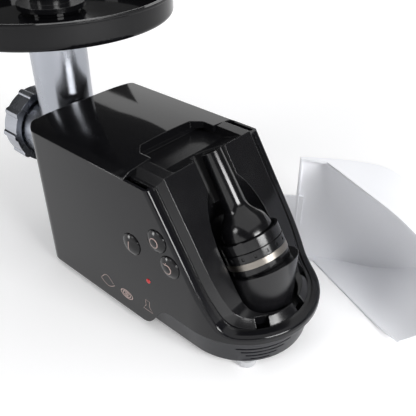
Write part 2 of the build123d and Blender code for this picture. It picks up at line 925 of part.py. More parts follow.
# Ring nut over the barrel's thread, with finger grips
nut_x = plate_x - seat_gap - nut_lip
with BuildPart() as ring_nut:
    rod(x_plane(nut_x), nut_r, nut_length)
    with BuildSketch(x_plane(nut_x)):
        with PolarLocations(nut_r - nut_rib_r / 2, nut_rib_count):
            Circle(nut_rib_r)
    extrude(amount=nut_length)
    rod(x_plane(nut_x), nut_open_r, nut_lip, Mode.SUBTRACT)
    rod(x_plane(nut_x + nut_lip), thread_r + seat_gap, nut_length, Mode.SUBTRACT)
write(ring_nut, "ring_nut")

# Hopper tray with a spigot into the feed tube
tube_base = Vector(tube_x, 0, 0)
spigot_r = tube_bore_r - slide_gap
spigot_bore_r = spigot_r - tray_spigot_wall
tray_wall_r = tray_r - tray_lip
tray_top = tray_z + tray_height
collar_top = tray_z + tray_floor + tray_collar_height
with BuildPart() as hopper_tray:
    turned(
        tube_base,
        (0, 0, 1),
        (1, 0, 0),
        (
            (spigot_bore_r, tray_z - tray_spigot),
            (spigot_r, tray_z - tray_spigot),
            (spigot_r, tray_z),
            (tray_wall_r, tray_z),
            (tray_wall_r, tray_top - tray_lip),
            (tray_r, tray_top - tray_lip),
            (tray_r, tray_top),
            (tray_wall_r - tray_wall, tray_top),
            (tray_wall_r - tray_wall, tray_z + tray_floor),
            (spigot_r + tray_collar_width, tray_z + tray_floor),
            (spigot_r + tray_collar_width, collar_top),
            (spigot_bore_r, collar_top),
        ),
    )
    tray_bottom = hopper_tray.edges().filter_by_position(Axis.Z, tray_z - run_gap, tray_z + run_gap)
    fillet(tray_bottom.sort_by(SortBy.RADIUS)[-1], tray_edge_round)
    tray_inside = hopper_tray.edges().filter_by_position(
        Axis.Z, tray_z + tray_floor - run_gap, tray_z + tray_floor + run_gap
    )
    fillet(tray_inside.sort_by(SortBy.RADIUS)[-1], tray_lip)
write(hopper_tray, "hopper_tray")

# Pusher standing in the tray's collar
pusher_r = spigot_bore_r - slide_gap
flange_z = collar_top + seat_gap
with BuildPart() as pusher:
    turned(
        tube_base,
        (0, 0, 1),
        (1, 0, 0),
        (
            (pusher_r - pusher_wall, flange_z - pusher_length),
            (pusher_r, flange_z - pusher_length),
            (pusher_r, flange_z),
            (pusher_flange_r, flange_z),
            (pusher_flange_r, flange_z + pusher_flange),
            (pusher_grip_r, flange_z + pusher_flange),
            (pusher_grip_r, flange_z + pusher_grip_height),
            (0, flange_z + pusher_grip_height),
            (0, flange_z + pusher_flange),
            (pusher_r - pusher_wall, flange_z + pusher_flange - pusher_wall),
        ),
    )
    fillet(pusher.faces().sort_by(Axis.Z)[-1].edges(), pusher_flange)
write(pusher, "pusher")

# Control board on the housing's posts beside the buttons
board_edge_x = crease_x + (panel_top - board_high_z) / tan(slope) - board_slope_gap / sin(slope)
board_edge_z = board_high_z - (board_high_x - board_edge_x) * tan(slope)
with BuildPart() as control_board:
    with BuildSketch(Plane.XZ.offset(-board_y)):
        Polygon(
            (board_low_x, board_low_z),
            (board_high_x, board_low_z),
            (board_high_x, board_edge_z),
            (board_edge_x, board_high_z),
            (board_low_x, board_high_z),
            align=None,
        )
    extrude(amount=board_thickness)
write(control_board, "control_board")

# Key switches on the board, one behind each button
with BuildPart() as key_switches:
    for name, x, z in buttons:
        switch_plane = Plane(origin=(x, board_face_y, z), z_dir=(0, -1, 0))
        block(switch_plane, switch_side, switch_side, switch_height)
        rod(switch_plane, switch_plunger_r, switch_height + switch_plunger)
write(key_switches, "key_switches")

# Button caps, each with a flange behind the panel and a stem toward its switch
board_depth = board_face_y + half_width
flange_depth = shell_wall + seat_gap
stem_depth = board_depth - switch_height - switch_plunger - switch_play - button_travel
for name, x, z in buttons:
    with BuildPart() as button:
        with BuildSketch(Plane(origin=(x, -half_width, z), x_dir=(1, 0, 0), z_dir=(0, 0, 1))):
            with BuildLine():
                TangentArc((0, -button_dome), (button_r, -button_edge), tangent=(1, 0))
                Polyline(
                    (button_r, -button_edge),
                    (button_r, flange_depth),
                    (button_r + button_flange_width, flange_depth),
                    (button_r + button_flange_width, flange_depth + button_flange),
                    (stem_r, flange_depth + button_flange),
                    (stem_r, stem_depth),
                    (0, stem_depth),
                    (0, -button_dome),
                )
            make_face()
        revolve(axis=Axis((x, 0, z), (0, 1, 0)))
    write(button, f"button_{name}")
    with BuildPart() as button_spring:
        turned(
            (x, -half_width, z),
            (0, 1, 0),
            (1, 0, 0),
            (
                (spring_r, flange_depth + button_flange),
                (spring_r + spring_wall, flange_depth + button_flange),
                (spring_r + spring_wall, board_depth),
                (spring_r, board_depth),
            ),
        )
    write(button_spring, f"spring_{name}")

# Lamp lens, a light pipe from the panel to the board
with BuildPart() as lamp_lens:
    lens_plane = Plane(origin=(lamp_x, -half_width - lamp_proud, lamp_z), z_dir=(0, 1, 0))
    rod(lens_plane, lamp_r, board_depth + lamp_proud)
    fillet(lamp_lens.edges().group_by(Axis.Y)[0], lamp_proud)
write(lamp_lens, "lamp_lens")

# Places of the gear train: motor under the head's axis, idler to one side
first_centres = first_module * (pinion_teeth + idler_teeth) / 2
second_centres = second_module * (idler_pinion_teeth + output_teeth) / 2
axis_rise = axis_z - motor_z
idler_rise = (first_centres**2 - second_centres**2 + axis_rise**2) / (2 * axis_rise)
idler_y = sqrt(first_centres**2 - idler_rise**2)
idler_z = motor_z + idler_rise
first_turn = degrees(atan(idler_rise / idler_y))
second_turn = degrees(atan((axis_z - idler_z) / -idler_y)) + 180
case_front_x = front_x + shell_wall + box_front_gap
case_inner_x = case_front_x + box_wall
second_x = case_inner_x + gear_side_gap
first_x = second_x + gear_two_width + gear_side_gap
cover_inner_x = first_x + gear_one_width + gear_side_gap
cover_outer_x = cover_inner_x + box_wall
output_tip_r = second_module * (output_teeth / 2 + addendum_share)
idler_tip_r = first_module * (idler_teeth / 2 + addendum_share)
case_low_y = -output_tip_r - box_gap
case_high_y = idler_y + idler_tip_r + box_gap
case_low_z = idler_z - idler_tip_r - box_gap
case_high_z = axis_z + output_tip_r + box_gap
case_y = (case_low_y + case_high_y) / 2
case_z = (case_low_z + case_high_z) / 2
case_width = case_high_y - case_low_y
case_height = case_high_z - case_low_z
ear_places = [
    (y, z)
    for y in (box_ear_inset - case_width / 2, case_width / 2 - box_ear_inset)
    for z in (box_ear_inset - case_height / 2, case_height / 2 - box_ear_inset)
]

post_places = [
    (y, z)
    for y in (box_ear_inset - case_width / 2, box_post_y - case_y)
    for z in (box_ear_inset - case_height / 2, case_height / 2 - box_ear_inset)
]

# Gearbox case with posts to the housing's front wall
with BuildPart() as gearbox_case:
    with BuildSketch(x_plane(case_front_x, case_y, case_z)):
        RectangleRounded(case_width, case_height, box_corner)
    extrude(amount=cover_inner_x - case_front_x)
    with BuildSketch(x_plane(case_inner_x, case_y, case_z)):
        RectangleRounded(case_width - 2 * box_wall, case_height - 2 * box_wall, box_corner - box_wall)
    extrude(amount=cover_inner_x - case_inner_x, mode=Mode.SUBTRACT)
    with BuildSketch(x_plane(case_front_x, case_y, case_z)):
        with Locations(*ear_places):
            Circle(box_ear_r)
    extrude(amount=cover_inner_x - case_front_x)
    with BuildSketch(x_plane(case_front_x, case_y, case_z)):
        with Locations(*post_places):
            Circle(box_ear_r)
    extrude(amount=-box_front_gap)
    rod(x_plane(case_front_x - boss_wall), journal_r + boss_wall, boss_wall)
    rod(x_plane(case_inner_x, idler_y, idler_z), idler_shaft_r + boss_wall, gear_side_gap - seat_gap)
    rod(x_plane(case_front_x - boss_wall), journal_r + run_gap, overrun, Mode.SUBTRACT)
    rod(x_plane(case_front_x, idler_y, idler_z), idler_shaft_r, overrun, Mode.SUBTRACT)
    with BuildSketch(x_plane(cover_inner_x, case_y, case_z)):
        with Locations(*ear_places):
            Circle(box_screw_r)
    extrude(amount=-box_screw_length, mode=Mode.SUBTRACT)
write(gearbox_case, "gearbox_case")

# Spring between the case and the lock button's bar
with BuildPart() as spring_lock:
    lock_back_x = lock_bar_x + lock_bar
    turned(
        (0, 0, lock_z),
        (1, 0, 0),
        (0, 1, 0),
        (
            (lock_spring_r, lock_back_x),
            (lock_spring_r + spring_wall, lock_back_x),
            (lock_spring_r + spring_wall, case_front_x),
            (lock_spring_r, case_front_x),
        ),
    )
write(spring_lock, "spring_lock")

# Gearbox cover with the motor's front bearing seat and posts to its stator
fan_x = cover_inner_x + bearing_width + motor_step
stack_x = fan_x + fan_width + motor_step + coil_overhang
stack_end_x = stack_x + stator_length
standoff = stator_side / 2 - standoff_inset
with BuildPart() as gearbox_cover:
    with BuildSketch(x_plane(cover_inner_x, case_y, case_z)):
        RectangleRounded(case_width, case_height, box_corner)
        with Locations(*ear_places):
            Circle(box_ear_r)
    extrude(amount=box_wall)
    lug_drop = standoff + standoff_r
    block(x_plane(cover_inner_x, 0, motor_z - lug_drop / 2), 2 * lug_drop, lug_drop, box_wall)
    rod(x_plane(cover_inner_x, 0, motor_z), bearing_r + boss_wall, bearing_width)
    with BuildSketch(x_plane(cover_inner_x, 0, motor_z)):
        with GridLocations(2 * standoff, 2 * standoff, 2, 2):
            Circle(standoff_r)
    extrude(amount=stack_x - cover_inner_x)
    rod(x_plane(cover_inner_x, 0, motor_z), bearing_r, overrun, Mode.SUBTRACT)
    rod(x_plane(cover_inner_x), stub_r + run_gap, overrun, Mode.SUBTRACT)
    rod(x_plane(cover_inner_x, idler_y, idler_z), idler_shaft_r, overrun, Mode.SUBTRACT)
    with BuildSketch(x_plane(cover_inner_x, case_y, case_z)):
        with Locations(*ear_places):
            Circle(box_screw_r)
    extrude(amount=overrun, mode=Mode.SUBTRACT)
write(gearbox_cover, "gearbox_cover")

# Screws through the gearbox cover into the case
with BuildPart() as gearbox_screws:
    with BuildSketch(x_plane(cover_outer_x, case_y, case_z)):
        with Locations(*ear_places):
            Circle(box_screw_head_r)
    extrude(amount=box_screw_head)
    with BuildSketch(x_plane(cover_outer_x, case_y, case_z)):
        with Locations(*ear_places):
            Circle(box_screw_r)
    extrude(amount=-box_wall - box_screw_length)
write(gearbox_screws, "gearbox_screws")

# Idler shaft, fixed in the case and the cover
with BuildPart() as idler_shaft:
    rod(x_plane(case_front_x, idler_y, idler_z), idler_shaft_r, cover_outer_x - case_front_x)
write(idler_shaft, "idler_shaft")

# Motor pinion, idler gear with its pinion, and the output gear, in mesh
with BuildPart() as motor_pinion:
    with BuildSketch(x_plane(first_x, 0, motor_z)):
        gear_outline(pinion_teeth, first_module, first_turn)
        Circle(pinion_shaft_r, mode=Mode.SUBTRACT)
    extrude(amount=gear_one_width)
write(motor_pinion, "motor_pinion")

with BuildPart() as idler_gear:
    with BuildSketch(x_plane(first_x, idler_y, idler_z)):
        gear_outline(idler_teeth, first_module, first_turn + 180 + 180 / idler_teeth)
        Circle(idler_shaft_r + run_gap, mode=Mode.SUBTRACT)
    extrude(amount=gear_one_width)
write(idler_gear, "idler_gear")

with BuildPart() as idler_pinion:
    with BuildSketch(x_plane(second_x, idler_y, idler_z)):
        gear_outline(idler_pinion_teeth, second_module, second_turn)
        Circle(idler_shaft_r + run_gap, mode=Mode.SUBTRACT)
    extrude(amount=first_x - second_x)
write(idler_pinion, "idler_pinion")

with BuildPart() as output_gear:
    with BuildSketch(x_plane(second_x)):
        gear_outline(output_teeth, second_module, second_turn + 180 + 180 / output_teeth)
        Circle(journal_r, mode=Mode.SUBTRACT)
    extrude(amount=gear_two_width)
write(output_gear, "output_gear")

# Drive shaft with a hexagon socket for the auger's tail
socket_x = neck_end_x + socket_gap
with BuildPart() as drive_shaft:
    rod(x_plane(socket_x), journal_r, second_x + gear_two_width - socket_x)
    rod(x_plane(socket_x), stub_r, cover_outer_x - socket_x)
    with BuildSketch(x_plane(socket_x)):
        RegularPolygon(drive_across / 2 + run_gap, 6, major_radius=False)
    extrude(amount=socket_depth, mode=Mode.SUBTRACT)
write(drive_shaft, "drive_shaft")

# Motor: stator, field coils, bearings and the rear bracket
coil_side = coil_depth + 2 * seat_gap
bracket_x = stack_end_x + coil_overhang + motor_step + commutator_length + motor_step
with BuildPart() as motor_stator:
    with BuildSketch(x_plane(stack_x, 0, motor_z)):
        RectangleRounded(stator_side, stator_side, stator_corner)
        Circle(armature_r + air_gap, mode=Mode.SUBTRACT)
        with GridLocations(2 * coil_half, 2 * coil_rise, 2, 2):
            Rectangle(coil_side, coil_side, mode=Mode.SUBTRACT)
    extrude(amount=stator_length)
write(motor_stator, "motor_stator")

with BuildPart() as field_coils:
    for rise in (-coil_rise, coil_rise):
        coil_x = (stack_x + stack_end_x) / 2
        coil_plane = Plane(origin=(coil_x, 0, motor_z + rise - coil_depth / 2))
        block(coil_plane, stator_length + 2 * coil_overhang, 2 * coil_half + coil_depth, coil_depth)
        block(
            coil_plane,
            stator_length + 2 * (coil_overhang - coil_depth),
            2 * coil_half - coil_depth,
            coil_depth,
            Mode.SUBTRACT,
        )
write(field_coils, "field_coils")

for name, x in (("front_bearing", cover_inner_x), ("rear_bearing", bracket_x)):
    with BuildPart() as bearing:
        rod(x_plane(x, 0, motor_z), bearing_r, bearing_width)
        rod(x_plane(x, 0, motor_z), motor_shaft_r + run_gap, bearing_width, Mode.SUBTRACT)
    write(bearing, name)

with BuildPart() as motor_bracket:
    block(x_plane(bracket_x, 0, motor_z), 2 * bracket_half, 2 * bracket_half, bracket_thickness)
    rod(x_plane(bracket_x, 0, motor_z), bearing_r + boss_wall, bearing_width)
    with BuildSketch(x_plane(bracket_x, 0, motor_z)):
        with GridLocations(2 * standoff, 2 * standoff, 2, 2):
            Circle(bracket_leg_r)
    extrude(amount=stack_end_x - bracket_x)
    rod(x_plane(bracket_x, 0, motor_z), bearing_r, overrun, Mode.SUBTRACT)
write(motor_bracket, "motor_bracket")

# Rotor: shaft, armature core, commutator and fan
with BuildPart() as motor_shaft:
    rod(x_plane(cover_inner_x, 0, motor_z), motor_shaft_r, bracket_x + bearing_width - cover_inner_x)
    rod(x_plane(first_x, 0, motor_z), pinion_shaft_r, cover_inner_x - first_x)
write(motor_shaft, "motor_shaft")

with BuildPart() as armature_core:
    with BuildSketch(x_plane(stack_x, 0, motor_z)):
        Circle(armature_r)
        with PolarLocations(armature_r, armature_slots):
            Rectangle(2 * slot_depth, slot_width, mode=Mode.SUBTRACT)
        Circle(motor_shaft_r, mode=Mode.SUBTRACT)
    extrude(amount=stator_length)
write(armature_core, "armature_core")

commutator_x = stack_end_x + coil_overhang + motor_step
with BuildPart() as commutator:
    rod(x_plane(commutator_x, 0, motor_z), commutator_r, commutator_length)
    rod(x_plane(commutator_x, 0, motor_z), motor_shaft_r, commutator_length, Mode.SUBTRACT)
write(commutator, "commutator")

with BuildPart() as fan:
    rod(x_plane(fan_x, 0, motor_z), fan_hub_r, fan_width)
    rod(x_plane(fan_x, 0, motor_z), fan_r, fan_blade)
    with BuildSketch(x_plane(fan_x, 0, motor_z)):
        with PolarLocations((fan_r + fan_hub_r) / 2 - fan_blade, fan_blades):
            Rectangle(fan_r - fan_hub_r, fan_blade)
    extrude(amount=fan_width)
    rod(x_plane(fan_x, 0, motor_z), motor_shaft_r, fan_width, Mode.SUBTRACT)
write(fan, "fan")

# Brushes against the commutator, in holders on the rear bracket
brush_x = commutator_x + commutator_length / 2
brush_start = commutator_r + seat_gap
with BuildPart() as carbon_brushes:
    for side in (-1, 1):
        brush_plane = Plane(origin=(brush_x, side * brush_start, motor_z), x_dir=(1, 0, 0), z_dir=(0, side, 0))
        block(brush_plane, brush_height, brush_width, brush_length)
write(carbon_brushes, "carbon_brushes")

with BuildPart() as brush_holders:
    for side in (-1, 1):
        holder_start = side * (brush_start + holder_wall)
        holder_length = bracket_x - brush_x + brush_height / 2 + holder_wall
        holder_x = bracket_x - holder_length / 2
        holder_plane = Plane(origin=(holder_x, holder_start, motor_z), x_dir=(1, 0, 0), z_dir=(0, side, 0))
        block(holder_plane, holder_length, brush_width + 2 * holder_wall, brush_length)
    for side in (-1, 1):
        brush_plane = Plane(origin=(brush_x, side * brush_start, motor_z), x_dir=(1, 0, 0), z_dir=(0, side, 0))
        block(brush_plane, brush_height, brush_width, brush_length, Mode.SUBTRACT)
write(brush_holders, "brush_holders")

# Stored nozzle in the bay, from its tip down to a flange inside the nozzle ring
tube_end = nozzle_start + nozzle_tube_length
bulb_end = tube_end + bulb_length
nozzle_side = Plane(origin=nozzle_root, x_dir=out, z_dir=out.cross(down))
with BuildPart() as sausage_nozzle:
    with BuildSketch(nozzle_side):
        with BuildLine():
            Line((nozzle_bore_r, nozzle_start), (nozzle_tube_r, nozzle_start))
            Line((nozzle_tube_r, nozzle_start), (nozzle_tube_end_r, tube_end))
            Spline(
                (nozzle_tube_end_r, tube_end),
                (bulb_r * bulb_waist_share, tube_end + bulb_length * bulb_rise_share),
                (bulb_r, bulb_end),
                tangents=((nozzle_tube_end_r - nozzle_tube_r, nozzle_tube_length), (0, bulb_length)),
            )
            Polyline(
                (bulb_r, bulb_end),
                (flange_r, bulb_end),
                (flange_r, bulb_end + flange_thickness),
                (bulb_r - nozzle_wall, bulb_end + flange_thickness),
                (bulb_r - nozzle_wall, bulb_end),
            )
            Spline(
                (bulb_r - nozzle_wall, bulb_end),
                (bulb_r * bulb_waist_share - nozzle_wall, tube_end + bulb_length * bulb_rise_share),
                (nozzle_tube_end_r - nozzle_wall, tube_end),
                tangents=((0, -bulb_length), (nozzle_tube_r - nozzle_tube_end_r, -nozzle_tube_length)),
            )
            Line((nozzle_tube_end_r - nozzle_wall, tube_end), (nozzle_bore_r, nozzle_start))
        make_face()
    revolve(axis=Axis(nozzle_root, down))
write(sausage_nozzle, "sausage_nozzle")

# Nozzle ring, spacer ring with notches, and the spare plates under them
with BuildPart() as nozzle_ring:
    rod(nozzle_plane(ring_start), ring_r, ring_length)
    rod(nozzle_plane(ring_start), ring_groove_r, ring_length + ring_groove)
    rod(nozzle_plane(ring_start), ring_bore_r, ring_length + ring_groove, Mode.SUBTRACT)
write(nozzle_ring, "nozzle_ring")

with BuildPart() as spacer_ring:
    rod(nozzle_plane(spacer_start), ring_r, spacer_length)
    rod(nozzle_plane(spacer_start), spacer_bore_r, spacer_length, Mode.SUBTRACT)
    with BuildSketch(nozzle_plane(spacer_start + spacer_notch)):
        with PolarLocations(ring_r, spacer_notch_count):
            Rectangle(spacer_notch, spacer_notch)
    extrude(amount=spacer_length - 2 * spacer_notch, mode=Mode.SUBTRACT)
write(spacer_ring, "spacer_ring")

with BuildPart() as spare_plate_coarse:
    with BuildSketch(nozzle_plane(plates_start)):
        Circle(ring_r)
        Circle(plate_hub_r, mode=Mode.SUBTRACT)
        with PolarLocations(spacer_bore_r, coarse_hole_count):
            Circle(coarse_hole_r, mode=Mode.SUBTRACT)
    extrude(amount=stored_plate)
write(spare_plate_coarse, "spare_plate_coarse")

with BuildPart() as spare_plate_fine:
    with BuildSketch(nozzle_plane(plates_start + stored_plate)):
        Circle(ring_r)
        Circle(plate_hub_r, mode=Mode.SUBTRACT)
        with PolarLocations(spacer_bore_r, plate_row_count):
            Circle(plate_hole_r, mode=Mode.SUBTRACT)
    extrude(amount=stored_plate)
write(spare_plate_fine, "spare_plate_fine")

with BuildPart() as kebbe_disc:
    rod(nozzle_plane(kebbe_start), kebbe_r, kebbe_length)
    rod(nozzle_plane(kebbe_start), kebbe_bore_r, kebbe_length, Mode.SUBTRACT)
write(kebbe_disc, "kebbe_disc")



def hood_solid(inset, seam):
    """The storage cover's block in its closed place, moved inwards, cut along its seam."""
    rear = rear_x - hood_rear_gap - inset
    top_z = crown_top - inset
    flat_end = hood_front_x + hood_flat
    bow_x = flat_end + (rear - flat_end) * hood_bow_share
    bow_z = hood_shoulder_z + (top_z - hood_shoulder_z) * hood_bow_share
    low_z = hood_rim_z - seam
    front = hood_front_x + inset
    rim_turn_x = crease_x + (panel_top - low_z) / tan(slope)
    with BuildPart() as hood:
        with BuildSketch(Plane.XZ):
            with BuildLine():
                Line((front, top_z), (flat_end, top_z))
                Bezier((flat_end, top_z), (bow_x, top_z), (rear, bow_z), (rear, hood_shoulder_z))
                Polyline(
                    (rear, hood_shoulder_z),
                    (rear, low_z),
                    (rim_turn_x - seam / sin(slope), low_z),
                    (crease_x - seam / sin(slope), panel_top),
                    (front, panel_top + hood_front_drop - seam),
                    (front, top_z),
                )
            make_face()
        extrude(amount=hood_half - inset, both=True)
        with BuildSketch(Plane.XY) as hood_plan:
            body_plan(hood_plan, half_width - hood_half + inset)
        extrude(amount=crown_top, mode=Mode.INTERSECT)
    return hood.part


# Storage cover, taken off and standing on one side wall
with BuildPart() as closed_cover:
    add(hood_solid(0, 0))
    add(hood_solid(hood_wall, overrun / 2), mode=Mode.SUBTRACT)
    tongue_front = hood_front_x - tongue_length
    tongue_z = panel_top + hood_front_drop
    tongue_plane = Plane(origin=((tongue_front + hood_front_x + tongue_root) / 2, 0, tongue_z))
    block(tongue_plane, tongue_length + tongue_root, 2 * tongue_half, hood_wall)

hood_along = Vector(cos(radians(hood_turn)), sin(radians(hood_turn)), 0)
hood_up = Vector(-sin(radians(hood_turn)), cos(radians(hood_turn)), 0)
hood_origin = Vector(hood_tongue_x, hood_tongue_y, hood_half) - hood_along * tongue_front - hood_up * tongue_z
with BuildPart() as storage_cover:
    with Locations(Plane(origin=hood_origin, x_dir=hood_along, z_dir=hood_up).location):
        add(closed_cover.part)
write(storage_cover, "storage_cover")
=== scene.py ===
"""Looks of an electric meat grinder with a rear storage bay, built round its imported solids."""

from __future__ import annotations

import json
import logging
import math
from collections.abc import Callable
from dataclasses import dataclass
from enum import Enum

import bmesh
import bpy
from mathutils import Matrix, Vector

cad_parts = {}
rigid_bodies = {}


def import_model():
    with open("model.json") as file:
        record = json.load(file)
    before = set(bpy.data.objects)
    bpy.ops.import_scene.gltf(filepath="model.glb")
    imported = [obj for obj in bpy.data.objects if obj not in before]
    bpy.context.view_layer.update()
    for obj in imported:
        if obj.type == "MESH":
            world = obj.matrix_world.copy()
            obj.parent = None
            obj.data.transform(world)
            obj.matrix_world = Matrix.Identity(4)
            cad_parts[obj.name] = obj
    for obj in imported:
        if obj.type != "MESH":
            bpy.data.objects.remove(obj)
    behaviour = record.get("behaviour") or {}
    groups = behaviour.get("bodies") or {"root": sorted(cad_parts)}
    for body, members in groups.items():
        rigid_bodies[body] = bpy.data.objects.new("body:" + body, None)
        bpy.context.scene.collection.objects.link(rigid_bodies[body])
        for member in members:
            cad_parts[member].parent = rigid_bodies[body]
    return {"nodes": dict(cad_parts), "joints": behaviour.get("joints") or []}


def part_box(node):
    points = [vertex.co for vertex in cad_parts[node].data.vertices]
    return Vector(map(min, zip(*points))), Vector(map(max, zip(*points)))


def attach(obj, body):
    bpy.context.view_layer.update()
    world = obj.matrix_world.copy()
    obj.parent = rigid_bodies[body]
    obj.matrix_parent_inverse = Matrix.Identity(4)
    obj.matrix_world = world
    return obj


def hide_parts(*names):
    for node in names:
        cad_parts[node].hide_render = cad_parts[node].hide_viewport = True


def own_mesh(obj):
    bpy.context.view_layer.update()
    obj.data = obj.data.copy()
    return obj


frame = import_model()

LOG = logging.getLogger("grinder")
MM = 0.001
IMAGE_SIDE = 416
SENSOR_MM = 36.0
NEAR_CLIP_M = 0.01
WHITE = (1.0, 1.0, 1.0, 1.0)
# Sockets of the colour mix node, whose names repeat for each data type.
MIX_DARK, MIX_LIGHT, MIX_RESULT = 6, 7, 2
# The broad shade over a whole piece, in waves per metre: one in about 45 mm.
BROAD_WAVES, BROAD_DETAIL, BROAD_ROUGH = 22.0, 3.0, 0.6
# The part of the broad shade that is spread over the range of roughness.
NOISE_LOW, NOISE_HIGH = 0.3, 0.7
# The grain's own noise; cast skin has finer detail than the rest.
GRAIN_ROUGH, PLAIN_DETAIL, CAST_DETAIL = 0.55, 2.0, 4.0
# Brushed grain is drawn out along Z.
EVEN, DRAWN_OUT = (1.0, 1.0, 1.0), (1.0, 1.0, 0.04)
LEAST_ROUGH = 0.02
EDGE_SAMPLES = 6


def linear(code: str) -> tuple[float, float, float, float]:
    """Turn an sRGB hex colour into linear values with full alpha.

    Args:
        code: Six hex digits.

    Returns:
        Linear red, green, blue and alpha.
    """
    parts = [int(code[at:at + 2], 16) / 255 for at in (0, 2, 4)]
    light = [p / 12.92 if p <= 0.04045 else ((p + 0.055) / 1.055) ** 2.4 for p in parts]
    return (light[0], light[1], light[2], 1.0)


def add_node(tree: bpy.types.NodeTree, kind: str, settings: dict, links: dict) -> bpy.types.Node:
    """Add one node to a tree with its settings and links.

    Args:
        tree: The node tree.
        kind: The node's type name.
        settings: Property names, or input names or numbers, with their values.
        links: Input names or numbers with the output sockets that feed them.

    Returns:
        The new node.
    """
    node = tree.nodes.new(kind)
    for name, value in settings.items():
        if isinstance(name, int) or name in node.inputs:
            node.inputs[name].default_value = value
        else:
            setattr(node, name, value)
    for name, source in links.items():
        tree.links.new(source, node.inputs[name])
    return node


class Grain(Enum):
    """How a surface was made, which sets the pattern of its bump."""

    MOULDED = "moulded"
    SPARK = "spark eroded"
    CAST = "cast"
    TURNED = "turned"
    BRUSHED = "brushed"


@dataclass(frozen=True)
class Finish:
    """One real material with the marks that its making left.

    Attributes:
        name: The material's common name and how it was made.
        code: Its sRGB colour.
        slot: The record's material slot; not used.
        rough: Roughness of the shader.
        rough_spread: How much the roughness varies over the surface.
        grain: The kind of surface pattern.
        grain_mm: Real size of one grain or wave.
        bump_mm: Height of the pattern.
        metal: One for a metal.
        ior: Index of refraction.
        shade: Share by which the colour varies.
        clear: Share of light that passes through.
        glow: Strength of its own light.
        edge_mm: Radius of the softened edges.
    """

    name: str
    code: str
    slot: str
    rough: float
    rough_spread: float = 0.03
    grain: Grain = Grain.MOULDED
    grain_mm: float = 8.0
    bump_mm: float = 0.004
    metal: float = 0.0
    ior: float = 1.5
    shade: float = 0.06
    clear: float = 0.0
    glow: float = 0.0
    edge_mm: float = 0.5

    def make(self) -> bpy.types.Material:
        """Build the material's node tree.

        Returns:
            The material.
        """
        material = bpy.data.materials.new(self.name)
        material.use_nodes = True
        tree = material.node_tree
        tree.nodes.clear()
        place = add_node(tree, "ShaderNodeTexCoord", {}, {}).outputs["Object"]
        stretch = DRAWN_OUT if self.grain is Grain.BRUSHED else EVEN
        turned = add_node(
            tree, "ShaderNodeMapping", {"Scale": stretch}, {"Vector": place},
        ).outputs["Vector"]
        detail = CAST_DETAIL if self.grain is Grain.CAST else PLAIN_DETAIL
        noise = add_node(
            tree, "ShaderNodeTexNoise",
            {"Scale": 1 / (self.grain_mm * MM), "Detail": detail, "Roughness": GRAIN_ROUGH},
            {"Vector": turned},
        ).outputs["Fac"]
        broad = add_node(
            tree, "ShaderNodeTexNoise",
            {"Scale": BROAD_WAVES, "Detail": BROAD_DETAIL, "Roughness": BROAD_ROUGH},
            {"Vector": place},
        ).outputs["Fac"]
        low = max(self.rough - self.rough_spread, LEAST_ROUGH)
        high = self.rough + self.rough_spread
        rough = add_node(
            tree, "ShaderNodeMapRange",
            {"From Min": NOISE_LOW, "From Max": NOISE_HIGH, "To Min": low, "To Max": high},
            {"Value": broad},
        ).outputs["Result"]
        base = linear(self.code)
        dark = tuple(c * (1 - self.shade) for c in base[:3]) + (1.0,)
        light = tuple(min(c * (1 + self.shade), 1.0) for c in base[:3]) + (1.0,)
        colour = add_node(
            tree, "ShaderNodeMix",
            {"data_type": "RGBA", MIX_DARK: dark, MIX_LIGHT: light}, {"Factor": broad},
        ).outputs[MIX_RESULT]
        edge = add_node(
            tree, "ShaderNodeBevel", {"Radius": self.edge_mm * MM, "samples": EDGE_SAMPLES}, {},
        ).outputs["Normal"]
        bump = add_node(
            tree, "ShaderNodeBump", {"Strength": 1.0, "Distance": self.bump_mm * MM},
            {"Height": noise, "Normal": edge},
        ).outputs["Normal"]
        shader = add_node(
            tree, "ShaderNodeBsdfPrincipled",
            {"Metallic": self.metal, "IOR": self.ior, "Transmission Weight": self.clear},
            {"Base Color": colour, "Roughness": rough, "Normal": bump},
        )
        if self.glow:
            shader.inputs["Emission Color"].default_value = base
            shader.inputs["Emission Strength"].default_value = self.glow
        add_node(tree, "ShaderNodeOutputMaterial", {}, {"Surface": shader.outputs["BSDF"]})
        return material


# Grit, grind lines and turning marks are really under 0.1 mm. They are drawn at 0.5 to 1.2 mm here,
# as coarse as they need to be to show.

# Polished ABS: deep black with a clear mirror and a very faint moulding wave.
GLOSS_ABS = Finish(
    "polished black ABS", "101012", "gloss_black", 0.06, 0.02,
    bump_mm=0.002, grain_mm=14.0, edge_mm=1.2,
)
# The same ABS on the housing: crisp edges, and a softer, weaker mirror.
HOUSING_ABS = Finish(
    "polished black ABS, crisp edges", "101013", "gloss_black", 0.15, 0.03,
    bump_mm=0.002, grain_mm=14.0, ior=1.37, edge_mm=0.3,
)
# The same ABS on the push buttons, with soft rims that turn dark; its colour is a shade darker,
# painted shade for the darker look of the domes.
BUTTON_ABS = Finish(
    "polished black ABS, soft rims, painted darker", "0d0d0f", "gloss_black", 0.06, 0.02,
    bump_mm=0.001, grain_mm=6.0, ior=1.4, edge_mm=2.6,
)
# Fine textured ABS: spark eroded mould, so highlights spread softly.
SATIN_ABS = Finish(
    "satin black ABS", "121214", "satin_black", 0.2, 0.05, Grain.SPARK, 0.9, 0.01, edge_mm=0.8,
)
# Tray ABS: very dark, and it mirrors little.
TRAY_ABS = Finish(
    "dull black ABS", "0e0e10", "satin_black", 0.06, 0.02, Grain.SPARK, 0.8, 0.001,
    ior=1.3, edge_mm=1.2,
)
# Polypropylene for the base: a little greyer and duller.
BASE_PP = Finish(
    "dark grey polypropylene", "1b1c21", "satin_black", 0.3, 0.06, Grain.SPARK, 0.8, 0.02, ior=1.4,
)
# Polished nylon of the nozzle and rings: dark, with soft streaks of light.
NOZZLE_NYLON = Finish(
    "polished black nylon", "0e0e10", "satin_black", 0.16, 0.03, Grain.MOULDED, 6.0, 0.004,
)
